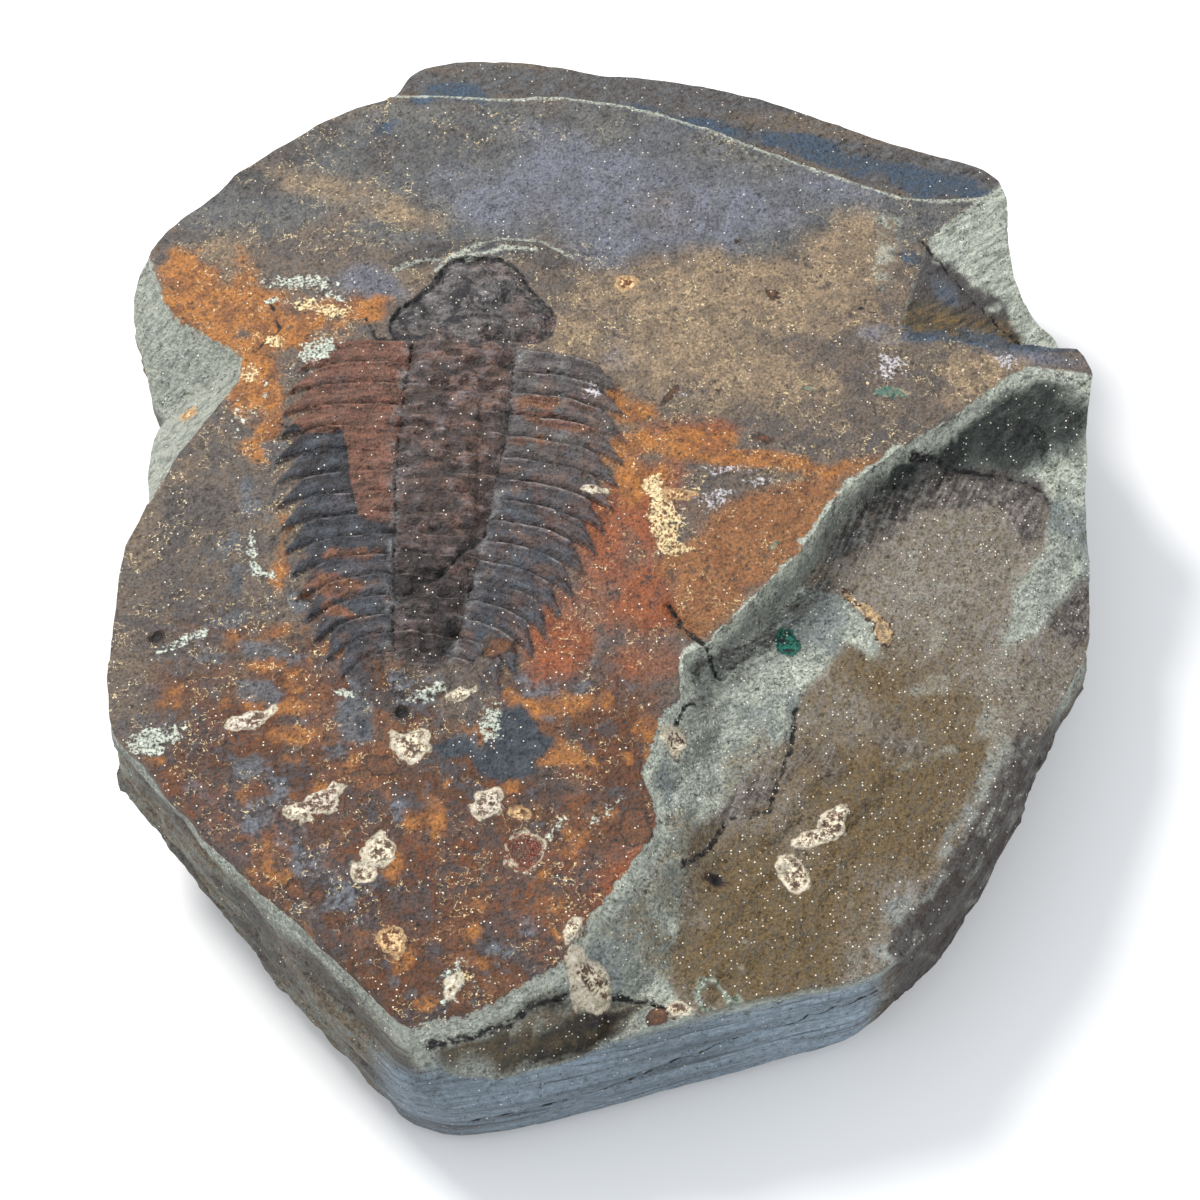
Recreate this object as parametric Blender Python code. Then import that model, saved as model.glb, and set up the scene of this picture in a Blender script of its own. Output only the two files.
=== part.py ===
"""Trilobite on its slab of slate: one natural stone, modelled as one closed body.

Working units are millimetres, turned into metres where the mesh is made.
+X is to the right, +Y is to the back (the way the animal's head points), +Z is up.
"""
import math

import bpy
import numpy as np
from mathutils import Vector
from mathutils.geometry import delaunay_2d_cdt

MM = 0.001

# Stone colours, linear values, and finish
STONE_COLOUR = (0.150, 0.088, 0.062, 1.0)
STONE_ROUGHNESS = 0.72

# Heights of the two bedding faces above the resting face
UPPER_BED = 43.0
LOWER_BED = 33.2
BED_SWELL = 0.5           # slow rise and fall of the upper bed
FRONT_STEP_DROP = 7.0     # how far the shelf falls towards the front left corner
TIP_SHELF_RISE = 3.4      # fresh stone left standing under the ledge's tip
FLAKE_THICKNESS = 1.0     # extra layer on the right of the fossil

# Mesh spacing
RIM_SPACING = 4.2
LEDGE_SPACING = 4.4
HEAD_SPACING = 2.6
FILL_SPACING = 6.6
RIM_ROW_INSET = 2.4
WIDE_BREAK = 16.0         # breaks wider than this are left to the general points
STEEP_SPACING = 3.9       # where the surface falls faster than STEEP
STEEP = 0.28
FILL_REACH = (104.0, 122.0)
CELL = 5.0                # grid used to find a point's neighbours
CLEAR_OF_RIM = 1.3
CLEAR_OF_ROWS = 0.9
SHARP_ANGLE = math.radians(9.0)

# Rim of the slab, anticlockwise from the front corner. Each row is
# x, y, how far the side leans out, the height where it does, the height
# where the underside begins, and how far in from the rim the stone rests.
RIM = [
    (-33.8, -114.6, 4.2, 26, 3, 7),
    (-27.5, -116.8, 3.0, 19, 2.5, 6),
    (-16.0, -115.6, 2.6, 17, 2.5, 6),
    (-1.0, -111.9, 2.3, 17, 2.5, 6),
    (16.0, -107.0, 2.0, 17, 2.5, 6),
    (33.0, -103.0, 1.2, 18, 3, 7),
    (45.0, -100.4, 0.8, 18, 5, 8),
    (51.5, -97.6, 0.6, 18, 8, 10),
    (57.0, -92.8, 0.8, 18, 9, 11),
    (62.2, -87.0, 0.8, 18, 10, 12),
    (68.8, -78.0, 0.6, 19, 11, 12),
    (75.0, -68.0, 0.5, 20, 12, 12),
    (82.8, -51.6, 0.4, 20, 13, 13),
    (91.0, -35.2, 0.4, 20, 14, 14),
    (95.4, -26.4, 0.3, 20, 14, 14),
    (96.8, -16.0, 0.3, 20, 14, 14),
    (97.5, -5.0, 0.3, 22, 14, 14),
    (97.2, 6.0, 0.4, 24, 14, 14),
    (97.4, 15.0, 0.4, 26, 14, 14),
    (98.2, 23.0, 0.3, 26, 14, 15),
    (99.3, 29.5, 0.2, 26, 14, 16),
    (98.0, 34.2, 0.4, 26, 14, 16),
    (96.0, 37.0, 0.8, 26, 14, 15),
    (96.4, 42.0, 0.5, 24, 14, 15),
    (94.4, 47.0, 0.5, 24, 13, 15),
    (91.2, 50.6, 0.5, 24, 13, 14),
    (88.2, 54.8, 0.5, 24, 13, 13),
    (86.4, 60.0, 0.5, 24, 13, 12),
    (85.4, 67.0, 0.5, 26, 13, 12),
    (85.4, 73.0, 0.5, 26, 13, 13),
    (85.6, 77.5, 0.6, 26, 13, 14),
    (84.2, 82.6, 0.5, 26, 13, 15),
    (81.2, 86.3, 0.5, 28, 12, 15),
    (74.8, 89.4, 0.8, 28, 12, 14),
    (65.3, 93.6, 1.0, 28, 12, 13),
    (60.0, 95.6, 0.6, 28, 12, 13),
    (47.2, 101.0, 1.0, 28, 12, 13),
    (34.2, 106.8, 1.2, 28, 12, 13),
    (21.1, 110.6, 0.8, 28, 12, 13),
    (7.8, 113.0, 0.6, 28, 12, 14),
    (-1.0, 114.0, 0.8, 28, 13, 15),
    (-9.9, 116.2, 0.6, 28, 13, 16),
    (-23.2, 118.3, 0.4, 28, 14, 18),
    (-33.2, 117.8, 0.4, 28, 15, 20),
    (-39.8, 115.8, 0.6, 28, 16, 22),
    (-43.2, 113.0, 0.6, 28, 16, 22),
    (-45.4, 108.2, 1.0, 28, 16, 20),
    (-48.2, 104.2, 1.2, 28, 16, 19),
    (-55.6, 101.4, 0.4, 28, 16, 20),
    (-62.0, 98.2, 0.2, 28, 16, 21),
    (-66.4, 94.4, 0.2, 28, 16, 21),
    (-71.0, 90.6, 0.6, 28, 17, 22),
    (-76.4, 85.7, 0.6, 28, 17, 23),
    (-79.7, 82.8, 1.0, 28, 17, 23),
    (-82.5, 77.9, 0.6, 28, 18, 24),
    (-89.3, 71.4, 0.6, 28, 18, 25),
    (-93.2, 66.8, 0.8, 28, 18, 26),
    (-95.6, 61.6, 0.8, 28, 19, 27),
    (-98.2, 58.0, 0.2, 26, 19, 28),
    (-99.6, 53.5, 0.2, 24, 19, 29),
    (-98.8, 47.5, 0.2, 24, 19, 29),
    (-96.0, 37.2, 0.2, 24, 19, 29),
    (-94.2, 31.5, 0.2, 24, 19, 28),
    (-91.2, 26.4, 0.4, 24, 19, 26),
    (-92.6, 22.6, 0.2, 24, 19, 27),
    (-92.8, 15.0, 0.2, 24, 19, 28),
    (-92.6, 7.0, 0.2, 24, 20, 28),
    (-91.0, -1.5, 0.2, 26, 20, 28),
    (-92.0, -6.5, 0.6, 27, 21, 28),
    (-94.3, -12.5, 0.4, 27, 21, 29),
    (-95.3, -22.0, 0.4, 28, 22, 30),
    (-95.6, -33.0, 0.4, 28, 22, 30),
    (-95.2, -42.0, 0.4, 28, 22, 30),
    (-94.2, -50.0, 0.4, 28, 22, 30),
    (-92.4, -55.8, 0.8, 27, 18, 27),
    (-85.2, -63.0, 1.2, 27, 16, 25),
    (-76.9, -72.8, 1.6, 27, 13, 21),
    (-67.0, -82.6, 2.4, 27, 10, 17),
    (-59.3, -89.9, 3.6, 27, 8, 13),
    (-49.7, -99.2, 4.8, 27, 6, 10),
    (-42.0, -107.0, 5.4, 27, 4, 8),
    (-37.2, -111.6, 5.4, 27, 3, 7),
]

# Broken edge of the upper bed, from the front corner to the right-hand side.
# Each row is x, y, how wide the break is in plan, and how hollow it is.
UPPER_EDGE = [
    (-38.5, -121.0, 6.0, 1.0),
    (-34.6, -113.4, 6.0, 1.0),
    (-31.2, -112.3, 6.0, 1.0),
    (-24.1, -110.9, 6.0, 1.0),
    (-18.9, -108.2, 7.0, 1.0),
    (-13.5, -104.6, 8.5, 1.0),
    (-8.2, -101.8, 10.0, 1.1),
    (-5.5, -95.9, 12.0, 1.1),
    (-1.0, -89.9, 14.0, 1.1),
    (3.6, -82.8, 14.0, 1.1),
    (6.4, -78.7, 13.0, 1.1),
    (9.2, -73.5, 13.0, 1.2),
    (8.3, -68.3, 14.0, 1.2),
    (6.5, -63.0, 15.0, 1.2),
    (8.4, -56.6, 14.0, 1.2),
    (10.4, -50.1, 12.0, 1.2),
    (14.2, -46.8, 9.0, 1.2),
    (14.3, -42.4, 6.0, 1.2),
    (14.6, -37.0, 3.0, 1.0),
    (20.5, -33.8, 2.0, 1.0),
    (30.1, -22.8, 1.7, 1.0),
    (38.2, -13.0, 1.7, 1.0),
    (45.6, -0.5, 1.7, 1.0),
    (52.9, 6.8, 1.8, 1.0),
    (59.2, 11.6, 2.2, 1.2),
    (69.7, 19.0, 6.5, 1.6),
    (77.2, 25.3, 15.0, 1.8),
    (82.7, 29.8, 22.0, 1.8),
    (86.5, 31.6, 26.0, 1.8),
    (99.6, 29.6, 38.0, 1.6),
    (160.0, 22.0, 38.0, 1.6),
]
FAR = 180.0               # closes each region well outside the slab

# Unevenness of the sides: smooth along the front band, rougher on the left
WALL_BUMP = 0.9
SMOOTH_BAND = -96.0
ROUGH_SIDE = -38.0

# Edge of the fresh break on the left side, top to bottom
LEFT_BREAK = [
    (-95.9, 61.0), (-91.6, 48.8), (-88.6, 44.4), (-81.5, 39.5), (-74.4, 34.6),
    (-74.8, 28.0), (-77.4, 24.2), (-85.4, 10.6), (-90.6, -2.4),
]
LEFT_BREAK_STEP = 1.0
LEFT_BREAK_SLOPE = 0.78

# Thin step across the back, left to right, and the fall behind it
BACK_STEP = [
    (-46.0, 105.6), (-36.0, 105.4), (-22.8, 104.3), (-9.7, 105.0), (3.4, 102.8), (12.0, 100.0),
    (20.7, 96.5), (33.5, 90.0), (42.0, 85.8), (52.5, 81.0), (62.9, 76.6), (72.0, 75.4), (84.0, 77.0),
]
BACK_STEP_DROP = 1.3
BACK_FALL = 0.14

# Bight broken out of the right-hand side at the back: a dark face falling east,
# a pale face falling south and a steep near side
BIGHT_WEST = (59.0, 43.0)
BIGHT_WEST_NORMAL = (0.953, -0.303)
BIGHT_WEST_FALL = 0.374
BIGHT_NORTH = (66.6, 66.0)
BIGHT_NORTH_FALL = (-0.227, 0.248)
BIGHT_SOUTH = [
    (40.0, 50.0), (59.0, 42.8), (67.1, 39.8), (76.4, 37.8), (85.8, 37.3), (94.6, 36.4), (130.0, 33.0),
]
BIGHT_SOUTH_FALL = 3.6
BIGHT_FOLD = [(58.7, 43.4), (62.0, 53.5), (66.0, 65.6)]
BIGHT_CRACK = [(66.4, 65.4), (71.8, 58.6), (77.0, 52.6), (83.0, 47.4), (88.2, 43.6)]

# Where the lower bed rolls over towards the right-hand side
LOWER_ROLL = [
    (91.0, 6.0), (87.0, -14.0), (82.0, -30.0), (79.5, -48.0), (76.0, -60.0),
    (71.5, -69.5), (66.0, -77.0), (60.0, -84.0), (55.5, -90.5), (52.0, -101.0),
]
ROLL_SLOPE_UPPER = 0.42
ROLL_SLOPE_LOWER = 0.85

# Thicker flake beside the fossil: its left edge, bottom to top
FLAKE_EDGE = [
    (20.6, -33.5), (14.5, -29.0), (12.0, -24.4), (13.8, -19.8), (14.7, -14.0),
    (10.8, -11.7), (9.3, -8.1), (7.0, 0.2), (8.6, 4.6),
]
FLAKE_FADE = 34.0

# The trilobite: its own axes start at the neck, v runs to the tail, u to its right
NECK = (-29.2, 37.0)
BODY_LEAN = math.radians(4.8)
SEGMENTS = 16
FIRST_PITCH = 5.6
PITCH_LOSS = 0.045        # each segment is a little shorter than the last
AXIS_SEGMENT = [0, 3, 6, 9, 12, 14, 16, 18]
AXIS_HALF = [10.7, 11.1, 10.4, 8.9, 7.4, 6.4, 4.9, 2.0]
WIDTH_SEGMENT = [0, 2, 5, 7, 9, 11, 13, 15, 16, 18]
WIDTH_HALF = [31.0, 34.0, 33.7, 31.7, 28.7, 24.8, 20.5, 14.8, 11.0, 5.0]
AXIS_HEIGHT = 1.9
RING_GROOVE = 0.55
GROOVE_WIDTH = 0.13       # of a segment
PLEURA_HEIGHT = 0.7
RIB_HEIGHT = 0.75
SIDE_FURROW = 0.6
SPINE_NOTCH = 0.13        # how far the gaps between spine tips cut in, of the rib's length
TIP_FADE = 0.10           # length over which a rib's end runs down, of the rib's length
SHORT_RIBS = 14.9         # from here on only the middle of a segment has its own points
TAIL_END = 16.0
TAIL_SHIELD = (0.0, 79.5, 7.0, 5.5, 1.2)    # u, v, half width, half length, height

# Head shield, its middle lobe and the loose front border, all in plan
HEAD = [
    (-28.3, 60.8), (-32.5, 60.0), (-34.9, 57.1), (-36.9, 53.1), (-40.1, 49.7), (-43.3, 47.1),
    (-45.1, 43.4), (-45.2, 40.8), (-43.6, 38.4), (-39.8, 36.4), (-18.6, 36.4), (-13.6, 37.8),
    (-11.1, 39.5), (-10.1, 42.9), (-11.0, 46.5), (-15.4, 51.3), (-16.9, 55.0), (-19.0, 58.2),
    (-22.0, 60.0), (-25.2, 60.8),
]
LOBE = [
    (-28.3, 59.4), (-31.8, 58.0), (-33.4, 54.0), (-34.2, 49.2), (-35.2, 41.3), (-34.6, 36.6),
    (-19.6, 36.6), (-20.2, 41.3), (-21.0, 49.2), (-22.2, 54.4), (-24.6, 58.2),
]
BORDER = [
    (-48.0, 58.6), (-44.1, 61.9), (-38.9, 64.3), (-32.7, 65.5), (-26.3, 65.8), (-20.0, 65.7),
    (-13.6, 64.3), (-9.0, 61.8), (-5.8, 57.4), (-12.5, 56.0), (-17.5, 58.6), (-22.0, 61.8),
    (-28.3, 62.4), (-33.4, 61.2), (-38.0, 57.6), (-44.0, 56.4),
]
HEAD_BASE = 36.5
HEAD_HOLLOW = 1.1
HEAD_MOAT = 0.8           # width of the gap round the head shield
HEAD_RISE = 1.5
LOBE_HEIGHT = 1.5
BORDER_HEIGHT = 0.7

# Lumps and hollows that show from a step away: x, y, radius, height
LUMPS = [
    (-38.9, -49.5, 2.6, -1.0), (-86.7, -33.1, 2.6, -0.9), (-14.8, -78.7, 4.2, -0.8), (-3.3, -101.4, 4.6, 0.9),
]


def smooth(t):
    t = np.clip(t, 0.0, 1.0)
    return t * t * (3.0 - 2.0 * t)


def lattice_noise(x, y, size, seed):
    """Smooth noise from -1 to 1 whose lumps are about `size` across."""
    gx, gy = x / size, y / size
    ix, iy = np.floor(gx), np.floor(gy)
    fx, fy = smooth(gx - ix), smooth(gy - iy)

    def corner(dx, dy):
        h = np.sin((ix + dx) * 127.1 + (iy + dy) * 311.7 + seed * 74.7) * 43758.5453
        return 2.0 * (h - np.floor(h)) - 1.0

    low = corner(0, 0) * (1 - fx) + corner(1, 0) * fx
    high = corner(0, 1) * (1 - fx) + corner(1, 1) * fx
    return low * (1 - fy) + high * fy


def line_distance(x, y, line, closed=False):
    """Distance to a line of points, and the line's extra values at the nearest place."""
    pts = np.array(line, dtype=float)
    ends = np.roll(pts, -1, axis=0) if closed else pts[1:]
    best = np.full(x.shape, 1e9)
    extra = np.zeros(x.shape + (pts.shape[1] - 2,))
    for p, q in zip(pts, ends):
        ex, ey = q[0] - p[0], q[1] - p[1]
        t = np.clip(((x - p[0]) * ex + (y - p[1]) * ey) / (ex * ex + ey * ey), 0.0, 1.0)
        d = np.hypot(x - p[0] - t * ex, y - p[1] - t * ey)
        near = d < best
        best = np.where(near, d, best)
        value = p[2:] + t[..., None] * (q[2:] - p[2:])
        extra = np.where(near[..., None], value, extra)
    return best, extra


def inside(x, y, polygon):
    hit = np.zeros(x.shape, dtype=bool)
    px, py = polygon[-1][:2]
    for row in polygon:
        qx, qy = row[:2]
        if qy != py:
            crosses = (qy > y) != (py > y)
            hit ^= crosses & (x < (px - qx) * (y - qy) / (py - qy) + qx)
        px, py = qx, qy
    return hit


def region_distance(x, y, edge, far_corners):
    """Distance to an edge, positive on the side that the far corners close."""
    d, extra = line_distance(x, y, edge)
    region = [row[:2] for row in edge] + far_corners
    return np.where(inside(x, y, region), d, -d), extra


def polygon_depth(x, y, polygon):
    d, _ = line_distance(x, y, polygon, closed=True)
    return np.where(inside(x, y, polygon), d, -d)


# The trilobite's own axes
def to_body(x, y):
    dx, dy = x - NECK[0], y - NECK[1]
    c, s = math.cos(BODY_LEAN), math.sin(BODY_LEAN)
    return dx * c - dy * s, -dx * s - dy * c


def from_body(u, v):
    c, s = math.cos(BODY_LEAN), math.sin(BODY_LEAN)
    return NECK[0] + u * c - v * s, NECK[1] - u * s - v * c


def segment_start(i):
    return FIRST_PITCH * i - PITCH_LOSS * i * i


def segment_at(v):
    """The inverse of segment_start."""
    v = np.minimum(v, FIRST_PITCH ** 2 / (4 * PITCH_LOSS) - 1.0)
    return (FIRST_PITCH - np.sqrt(FIRST_PITCH ** 2 - 4 * PITCH_LOSS * v)) / (2 * PITCH_LOSS)


def axis_half(i):
    return np.interp(i, AXIS_SEGMENT, AXIS_HALF)


def body_half(i):
    return np.interp(i, WIDTH_SEGMENT, WIDTH_HALF)


def sweep_back(t, i):
    """How far a rib has swung towards the tail at t, 0 on the axis and 1 at the tip."""
    t = np.clip(t, 0.0, 1.15)
    slope = 0.04 + 0.0013 * np.clip(i, 0, 18) ** 2
    reach = body_half(i) - axis_half(i)
    return slope * reach * t + (3.4 + 0.12 * i) * t ** 4


def body_coordinates(x, y):
    """Side offset, segment number and the place along the rib, for any point in plan."""
    u, v = to_body(x, y)
    i = segment_at(v)
    t = np.zeros_like(u)
    for _ in range(8):
        t = (np.abs(u) - axis_half(i)) / (body_half(i) - axis_half(i))
        i = 0.5 * i + 0.5 * segment_at(v - sweep_back(np.maximum(t, 0.0), i))
    return u, i, t


def thorax_relief(x, y):
    u, i, t = body_coordinates(x, y)
    f = i - np.floor(i)
    edge = np.minimum(f, 1 - f)
    groove = np.exp(-(edge / GROOVE_WIDTH) ** 2)
    across = np.clip(np.abs(u) / axis_half(i), 0.0, 1.0)
    ring = AXIS_HEIGHT * np.sqrt(1.0 - across ** 2) - RING_GROOVE * groove
    tip = 1.0 - SPINE_NOTCH * smooth(1.0 - 2.2 * edge)
    rib = RIB_HEIGHT * (smooth(2.6 * edge) - 0.35)
    pleura = (PLEURA_HEIGHT + rib) * smooth((tip - t) / TIP_FADE)
    pleura -= SIDE_FURROW * np.exp(-(t / TIP_FADE) ** 2)
    relief = np.where(t < 0.0, ring, pleura)
    ends = smooth((i + 0.15) / 0.3) * smooth((TAIL_END - i) / 1.2)
    side, back = to_body(x, y)
    middle, start, half_width, half_length, height = TAIL_SHIELD
    spread = ((side - middle) / half_width) ** 2 + ((back - start) / half_length) ** 2
    tail = smooth(1.8 * (1.0 - spread))
    return relief * ends * (1.0 - tail) + height * tail


def head_relief(x, y):
    depth = polygon_depth(x, y, HEAD)
    shield = HEAD_RISE * smooth((depth - HEAD_MOAT) / 3.0) - HEAD_HOLLOW
    shield *= smooth(depth / HEAD_MOAT) * smooth((y - HEAD_BASE) / 3.0)
    lobe = LOBE_HEIGHT * np.sqrt(smooth(polygon_depth(x, y, LOBE) / 5.0))
    border = BORDER_HEIGHT * smooth(polygon_depth(x, y, BORDER) / 1.6)
    return shield + lobe + border


def upper_bed(x, y):
    z = UPPER_BED + BED_SWELL * lattice_noise(x, y, 46.0, 3) + 0.25 * lattice_noise(x, y, 17.0, 5)
    back, _ = region_distance(x, y, BACK_STEP, [(FAR, 77.0), (FAR, FAR), (-FAR, FAR), (-FAR, 106.0)])
    z -= BACK_STEP_DROP * smooth(back / 1.6) + BACK_FALL * np.maximum(back, 0.0)
    flake, _ = region_distance(x, y, FLAKE_EDGE, [(20.0, 30.0), (FAR, 30.0), (FAR, -33.5)])
    z += FLAKE_THICKNESS * smooth(flake / 0.8) * smooth((FLAKE_FADE - flake) / FLAKE_FADE)
    z += thorax_relief(x, y) + head_relief(x, y)
    return z


def lower_bed(x, y):
    z = LOWER_BED + 0.35 * lattice_noise(x, y, 30.0, 9)
    z -= FRONT_STEP_DROP * smooth((14.0 - x) / 30.0)
    z += TIP_SHELF_RISE * np.exp(-((x - 24.0) ** 2 + (y + 37.0) ** 2) / 12.0 ** 2)
    roll, _ = region_distance(x, y, LOWER_ROLL, [(60.0, -FAR), (FAR, -FAR), (FAR, 20.0)])
    slope = ROLL_SLOPE_UPPER + (ROLL_SLOPE_LOWER - ROLL_SLOPE_UPPER) * smooth((-40.0 - y) / 30.0)
    return z - slope * np.maximum(roll, 0.0)


def cut_left_break(x, y, z):
    depth, _ = region_distance(x, y, LEFT_BREAK, [(-FAR, -10.0), (-FAR, 75.0)])
    fall = LEFT_BREAK_STEP * smooth(depth / 0.9) + LEFT_BREAK_SLOPE * np.maximum(depth, 0.0)
    return z - fall


def cut_bight(x, y, z):
    east = (x - BIGHT_WEST[0]) * BIGHT_WEST_NORMAL[0] + (y - BIGHT_WEST[1]) * BIGHT_WEST_NORMAL[1]
    dark_face = UPPER_BED + 0.3 - BIGHT_WEST_FALL * east
    fall_x, fall_y = BIGHT_NORTH_FALL
    pale_face = UPPER_BED + fall_x * (x - BIGHT_NORTH[0]) + fall_y * (y - BIGHT_NORTH[1])
    north, _ = region_distance(x, y, BIGHT_SOUTH, [(130.0, FAR), (40.0, FAR)])
    near_side = UPPER_BED + 0.4 - BIGHT_SOUTH_FALL * north
    return np.minimum(z, np.maximum(np.maximum(dark_face, pale_face), near_side))


def top_height(x, y):
    """Height of the slab's upper side at any point in plan."""
    x, y = np.asarray(x, dtype=float), np.asarray(y, dtype=float)
    ledge, extra = region_distance(x, y, UPPER_EDGE, [(FAR, FAR), (-FAR, FAR), (-FAR, -FAR), (-60.0, -FAR)])
    width, hollow = extra[..., 0], extra[..., 1]
    low, high = lower_bed(x, y), cut_bight(x, y, cut_left_break(x, y, upper_bed(x, y)))
    fallen = np.clip(-ledge / np.maximum(width, 0.1), 0.0, 1.0)
    z = low + (high - low) * (1.0 - fallen) ** hollow
    for cx, cy, radius, height in LUMPS:
        z += height * smooth(1.6 * (1.0 - np.hypot(x - cx, y - cy) / radius))
    return z


# Points in plan
def resample(line, spacing, closed=False):
    """Even steps along a line that still pass through each of its points."""
    rows = [np.array(row, dtype=float) for row in line]
    pairs = list(zip(rows, rows[1:] + rows[:1] if closed else rows[1:]))
    out = []
    for p, q in pairs:
        steps = max(1, round(math.hypot(q[0] - p[0], q[1] - p[1]) / spacing))
        out += [p + (q - p) * k / steps for k in range(steps)]
    if not closed:
        out.append(rows[-1])
    return np.array(out)


def offset_line(points, distance):
    """The line moved to its right by `distance`, which may differ from point to point."""
    run = np.gradient(points[:, :2], axis=0)
    run /= np.hypot(run[:, 0], run[:, 1])[:, None]
    side = np.stack([run[:, 1], -run[:, 0]], axis=1)
    return points[:, :2] + side * np.reshape(distance, (-1, 1))


def stretches(kept):
    """Start and stop of each unbroken stretch of true values."""
    steps = np.diff(np.concatenate([[0], kept.astype(int), [0]]))
    return list(zip(np.flatnonzero(steps == 1), np.flatnonzero(steps == -1)))


def inner_ring(points, depth):
    """A closed outline's points moved in by `depth`, whichever way round it runs."""
    ring = points[:, :2]
    along = np.roll(ring, -1, axis=0) - np.roll(ring, 1, axis=0)
    along /= np.hypot(along[:, 0], along[:, 1])[:, None]
    side = np.stack([-along[:, 1], along[:, 0]], axis=1)
    trial = ring + side * 0.1
    wrong = ~inside(trial[:, 0], trial[:, 1], ring.tolist())
    side[wrong] *= -1.0
    return ring + side * depth


class PlanPoints:
    """Points of the upper side, with the edges that the triangles must keep."""

    def __init__(self, rim):
        self.rim = rim
        self.points = []
        self.edges = []
        self.cells = {}
        for p in rim:
            self.keep(p)

    def keep(self, p):
        self.points.append((float(p[0]), float(p[1])))
        self.cells.setdefault((int(p[0] // CELL), int(p[1] // CELL)), []).append(self.points[-1])

    def crowded(self, p, gap):
        i, j = int(p[0] // CELL), int(p[1] // CELL)
        near = [q for a in (i - 1, i, i + 1) for b in (j - 1, j, j + 1) for q in self.cells.get((a, b), ())]
        return any(math.hypot(p[0] - q[0], p[1] - q[1]) < gap for q in near)

    def add_row(self, row, gap=CLEAR_OF_ROWS, linked=True):
        row = np.asarray(row, dtype=float).reshape(-1, 2)
        clear = polygon_depth(row[:, 0], row[:, 1], self.rim[:, :2]) > CLEAR_OF_RIM
        last = None
        for p, fits in zip(row, clear):
            if not fits or self.crowded(p, gap):
                last = None
                continue
            self.keep(p)
            here = len(self.points) - 1
            if linked and last is not None:
                self.edges.append((last, here))
            last = here


def add_rim_row(plan):
    """A row just inside the rim, so that the surface keeps its shape up to the side."""
    rim = plan.rim[:, :2]
    along = np.roll(rim, -1, axis=0) - np.roll(rim, 1, axis=0)
    along /= np.hypot(along[:, 0], along[:, 1])[:, None]
    plan.add_row(rim + RIM_ROW_INSET * np.stack([-along[:, 1], along[:, 0]], axis=1), linked=False)


def add_ledge_rows(plan):
    line = resample(UPPER_EDGE, LEDGE_SPACING)
    width = line[:, 2]
    plan.add_row(offset_line(line, np.zeros(len(line))))
    for share in (1.0, 0.5):
        row = offset_line(line, width * share)
        kept = (width < WIDE_BREAK) & (width * share > 1.5)
        for start, stop in stretches(kept):
            plan.add_row(row[start:stop], linked=share == 1.0)
    for edge, shift in ((LEFT_BREAK, 1.2), (BACK_STEP, -1.6), (FLAKE_EDGE, 1.0), (BIGHT_SOUTH, -1.8)):
        line = resample(edge, LEDGE_SPACING)
        for distance in (0.0, shift):
            plan.add_row(offset_line(line, np.full(len(line), distance)))
    for fold in (BIGHT_FOLD, BIGHT_CRACK, LOWER_ROLL):
        plan.add_row([p[:2] for p in resample(fold, LEDGE_SPACING)])


def add_head_rows(plan):
    for outline, depths in ((HEAD, (0.0, 1.0)), (BORDER, (0.0, 1.6)), (LOBE, (0.3, 2.4, 5.0))):
        points = resample(outline, HEAD_SPACING, closed=True)
        for depth in depths:
            ring = inner_ring(points, depth)
            plan.add_row(np.vstack([ring, ring[:1]]), linked=depth <= 1.0)


def add_thorax_rows(plan):
    """A row of points along every furrow and every crest."""
    ribs = [i + f for i in range(SEGMENTS) for f in (0.0, 0.45)]
    outward = np.array([0.0, 0.14, 0.32, 0.50, 0.66, 0.80, 0.91, 1.03])
    axis = np.array([0.0, 0.36, 0.72])
    for i in ribs:
        half, width = float(axis_half(i)), float(body_half(i))
        steps = outward if i < SHORT_RIBS else outward[:0]
        u = np.concatenate([axis * half, half + steps * (width - half)])
        t = np.concatenate([np.zeros(len(axis)), steps])
        v = segment_start(i) + sweep_back(t, i)
        side = [from_body(a, b) for a, b in zip(u, v)]
        mirrored = [from_body(-a, b) for a, b in zip(u[1:], v[1:])]
        plan.add_row(mirrored[::-1] + side)


def staggered_grid(spacing):
    half_x, half_y = FILL_REACH
    rows = []
    for row, y in enumerate(np.arange(-half_y, half_y, spacing * math.sqrt(3) / 2)):
        x = np.arange(-half_x + (row % 2) * spacing / 2, half_x, spacing)
        rows.append(np.column_stack([x, np.full(len(x), y)]))
    return np.vstack(rows)


def slope(points, reach=1.0):
    x, y = points[:, 0], points[:, 1]
    across = top_height(x + reach, y) - top_height(x - reach, y)
    along = top_height(x, y + reach) - top_height(x, y - reach)
    return np.hypot(across, along) / (2.0 * reach)


def add_fill(plan):
    for cx, cy, radius, _ in LUMPS:
        ring = [(cx + r * radius * math.cos(a), cy + r * radius * math.sin(a))
                for r, count in ((0.45, 5), (1.0, 8)) for a in np.arange(count) * 2 * math.pi / count]
        plan.add_row([(cx, cy)] + ring, linked=False)
    close = staggered_grid(STEEP_SPACING)
    plan.add_row(close[slope(close) > STEEP], 0.62 * STEEP_SPACING, linked=False)
    plan.add_row(staggered_grid(FILL_SPACING), 0.62 * FILL_SPACING, linked=False)


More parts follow.
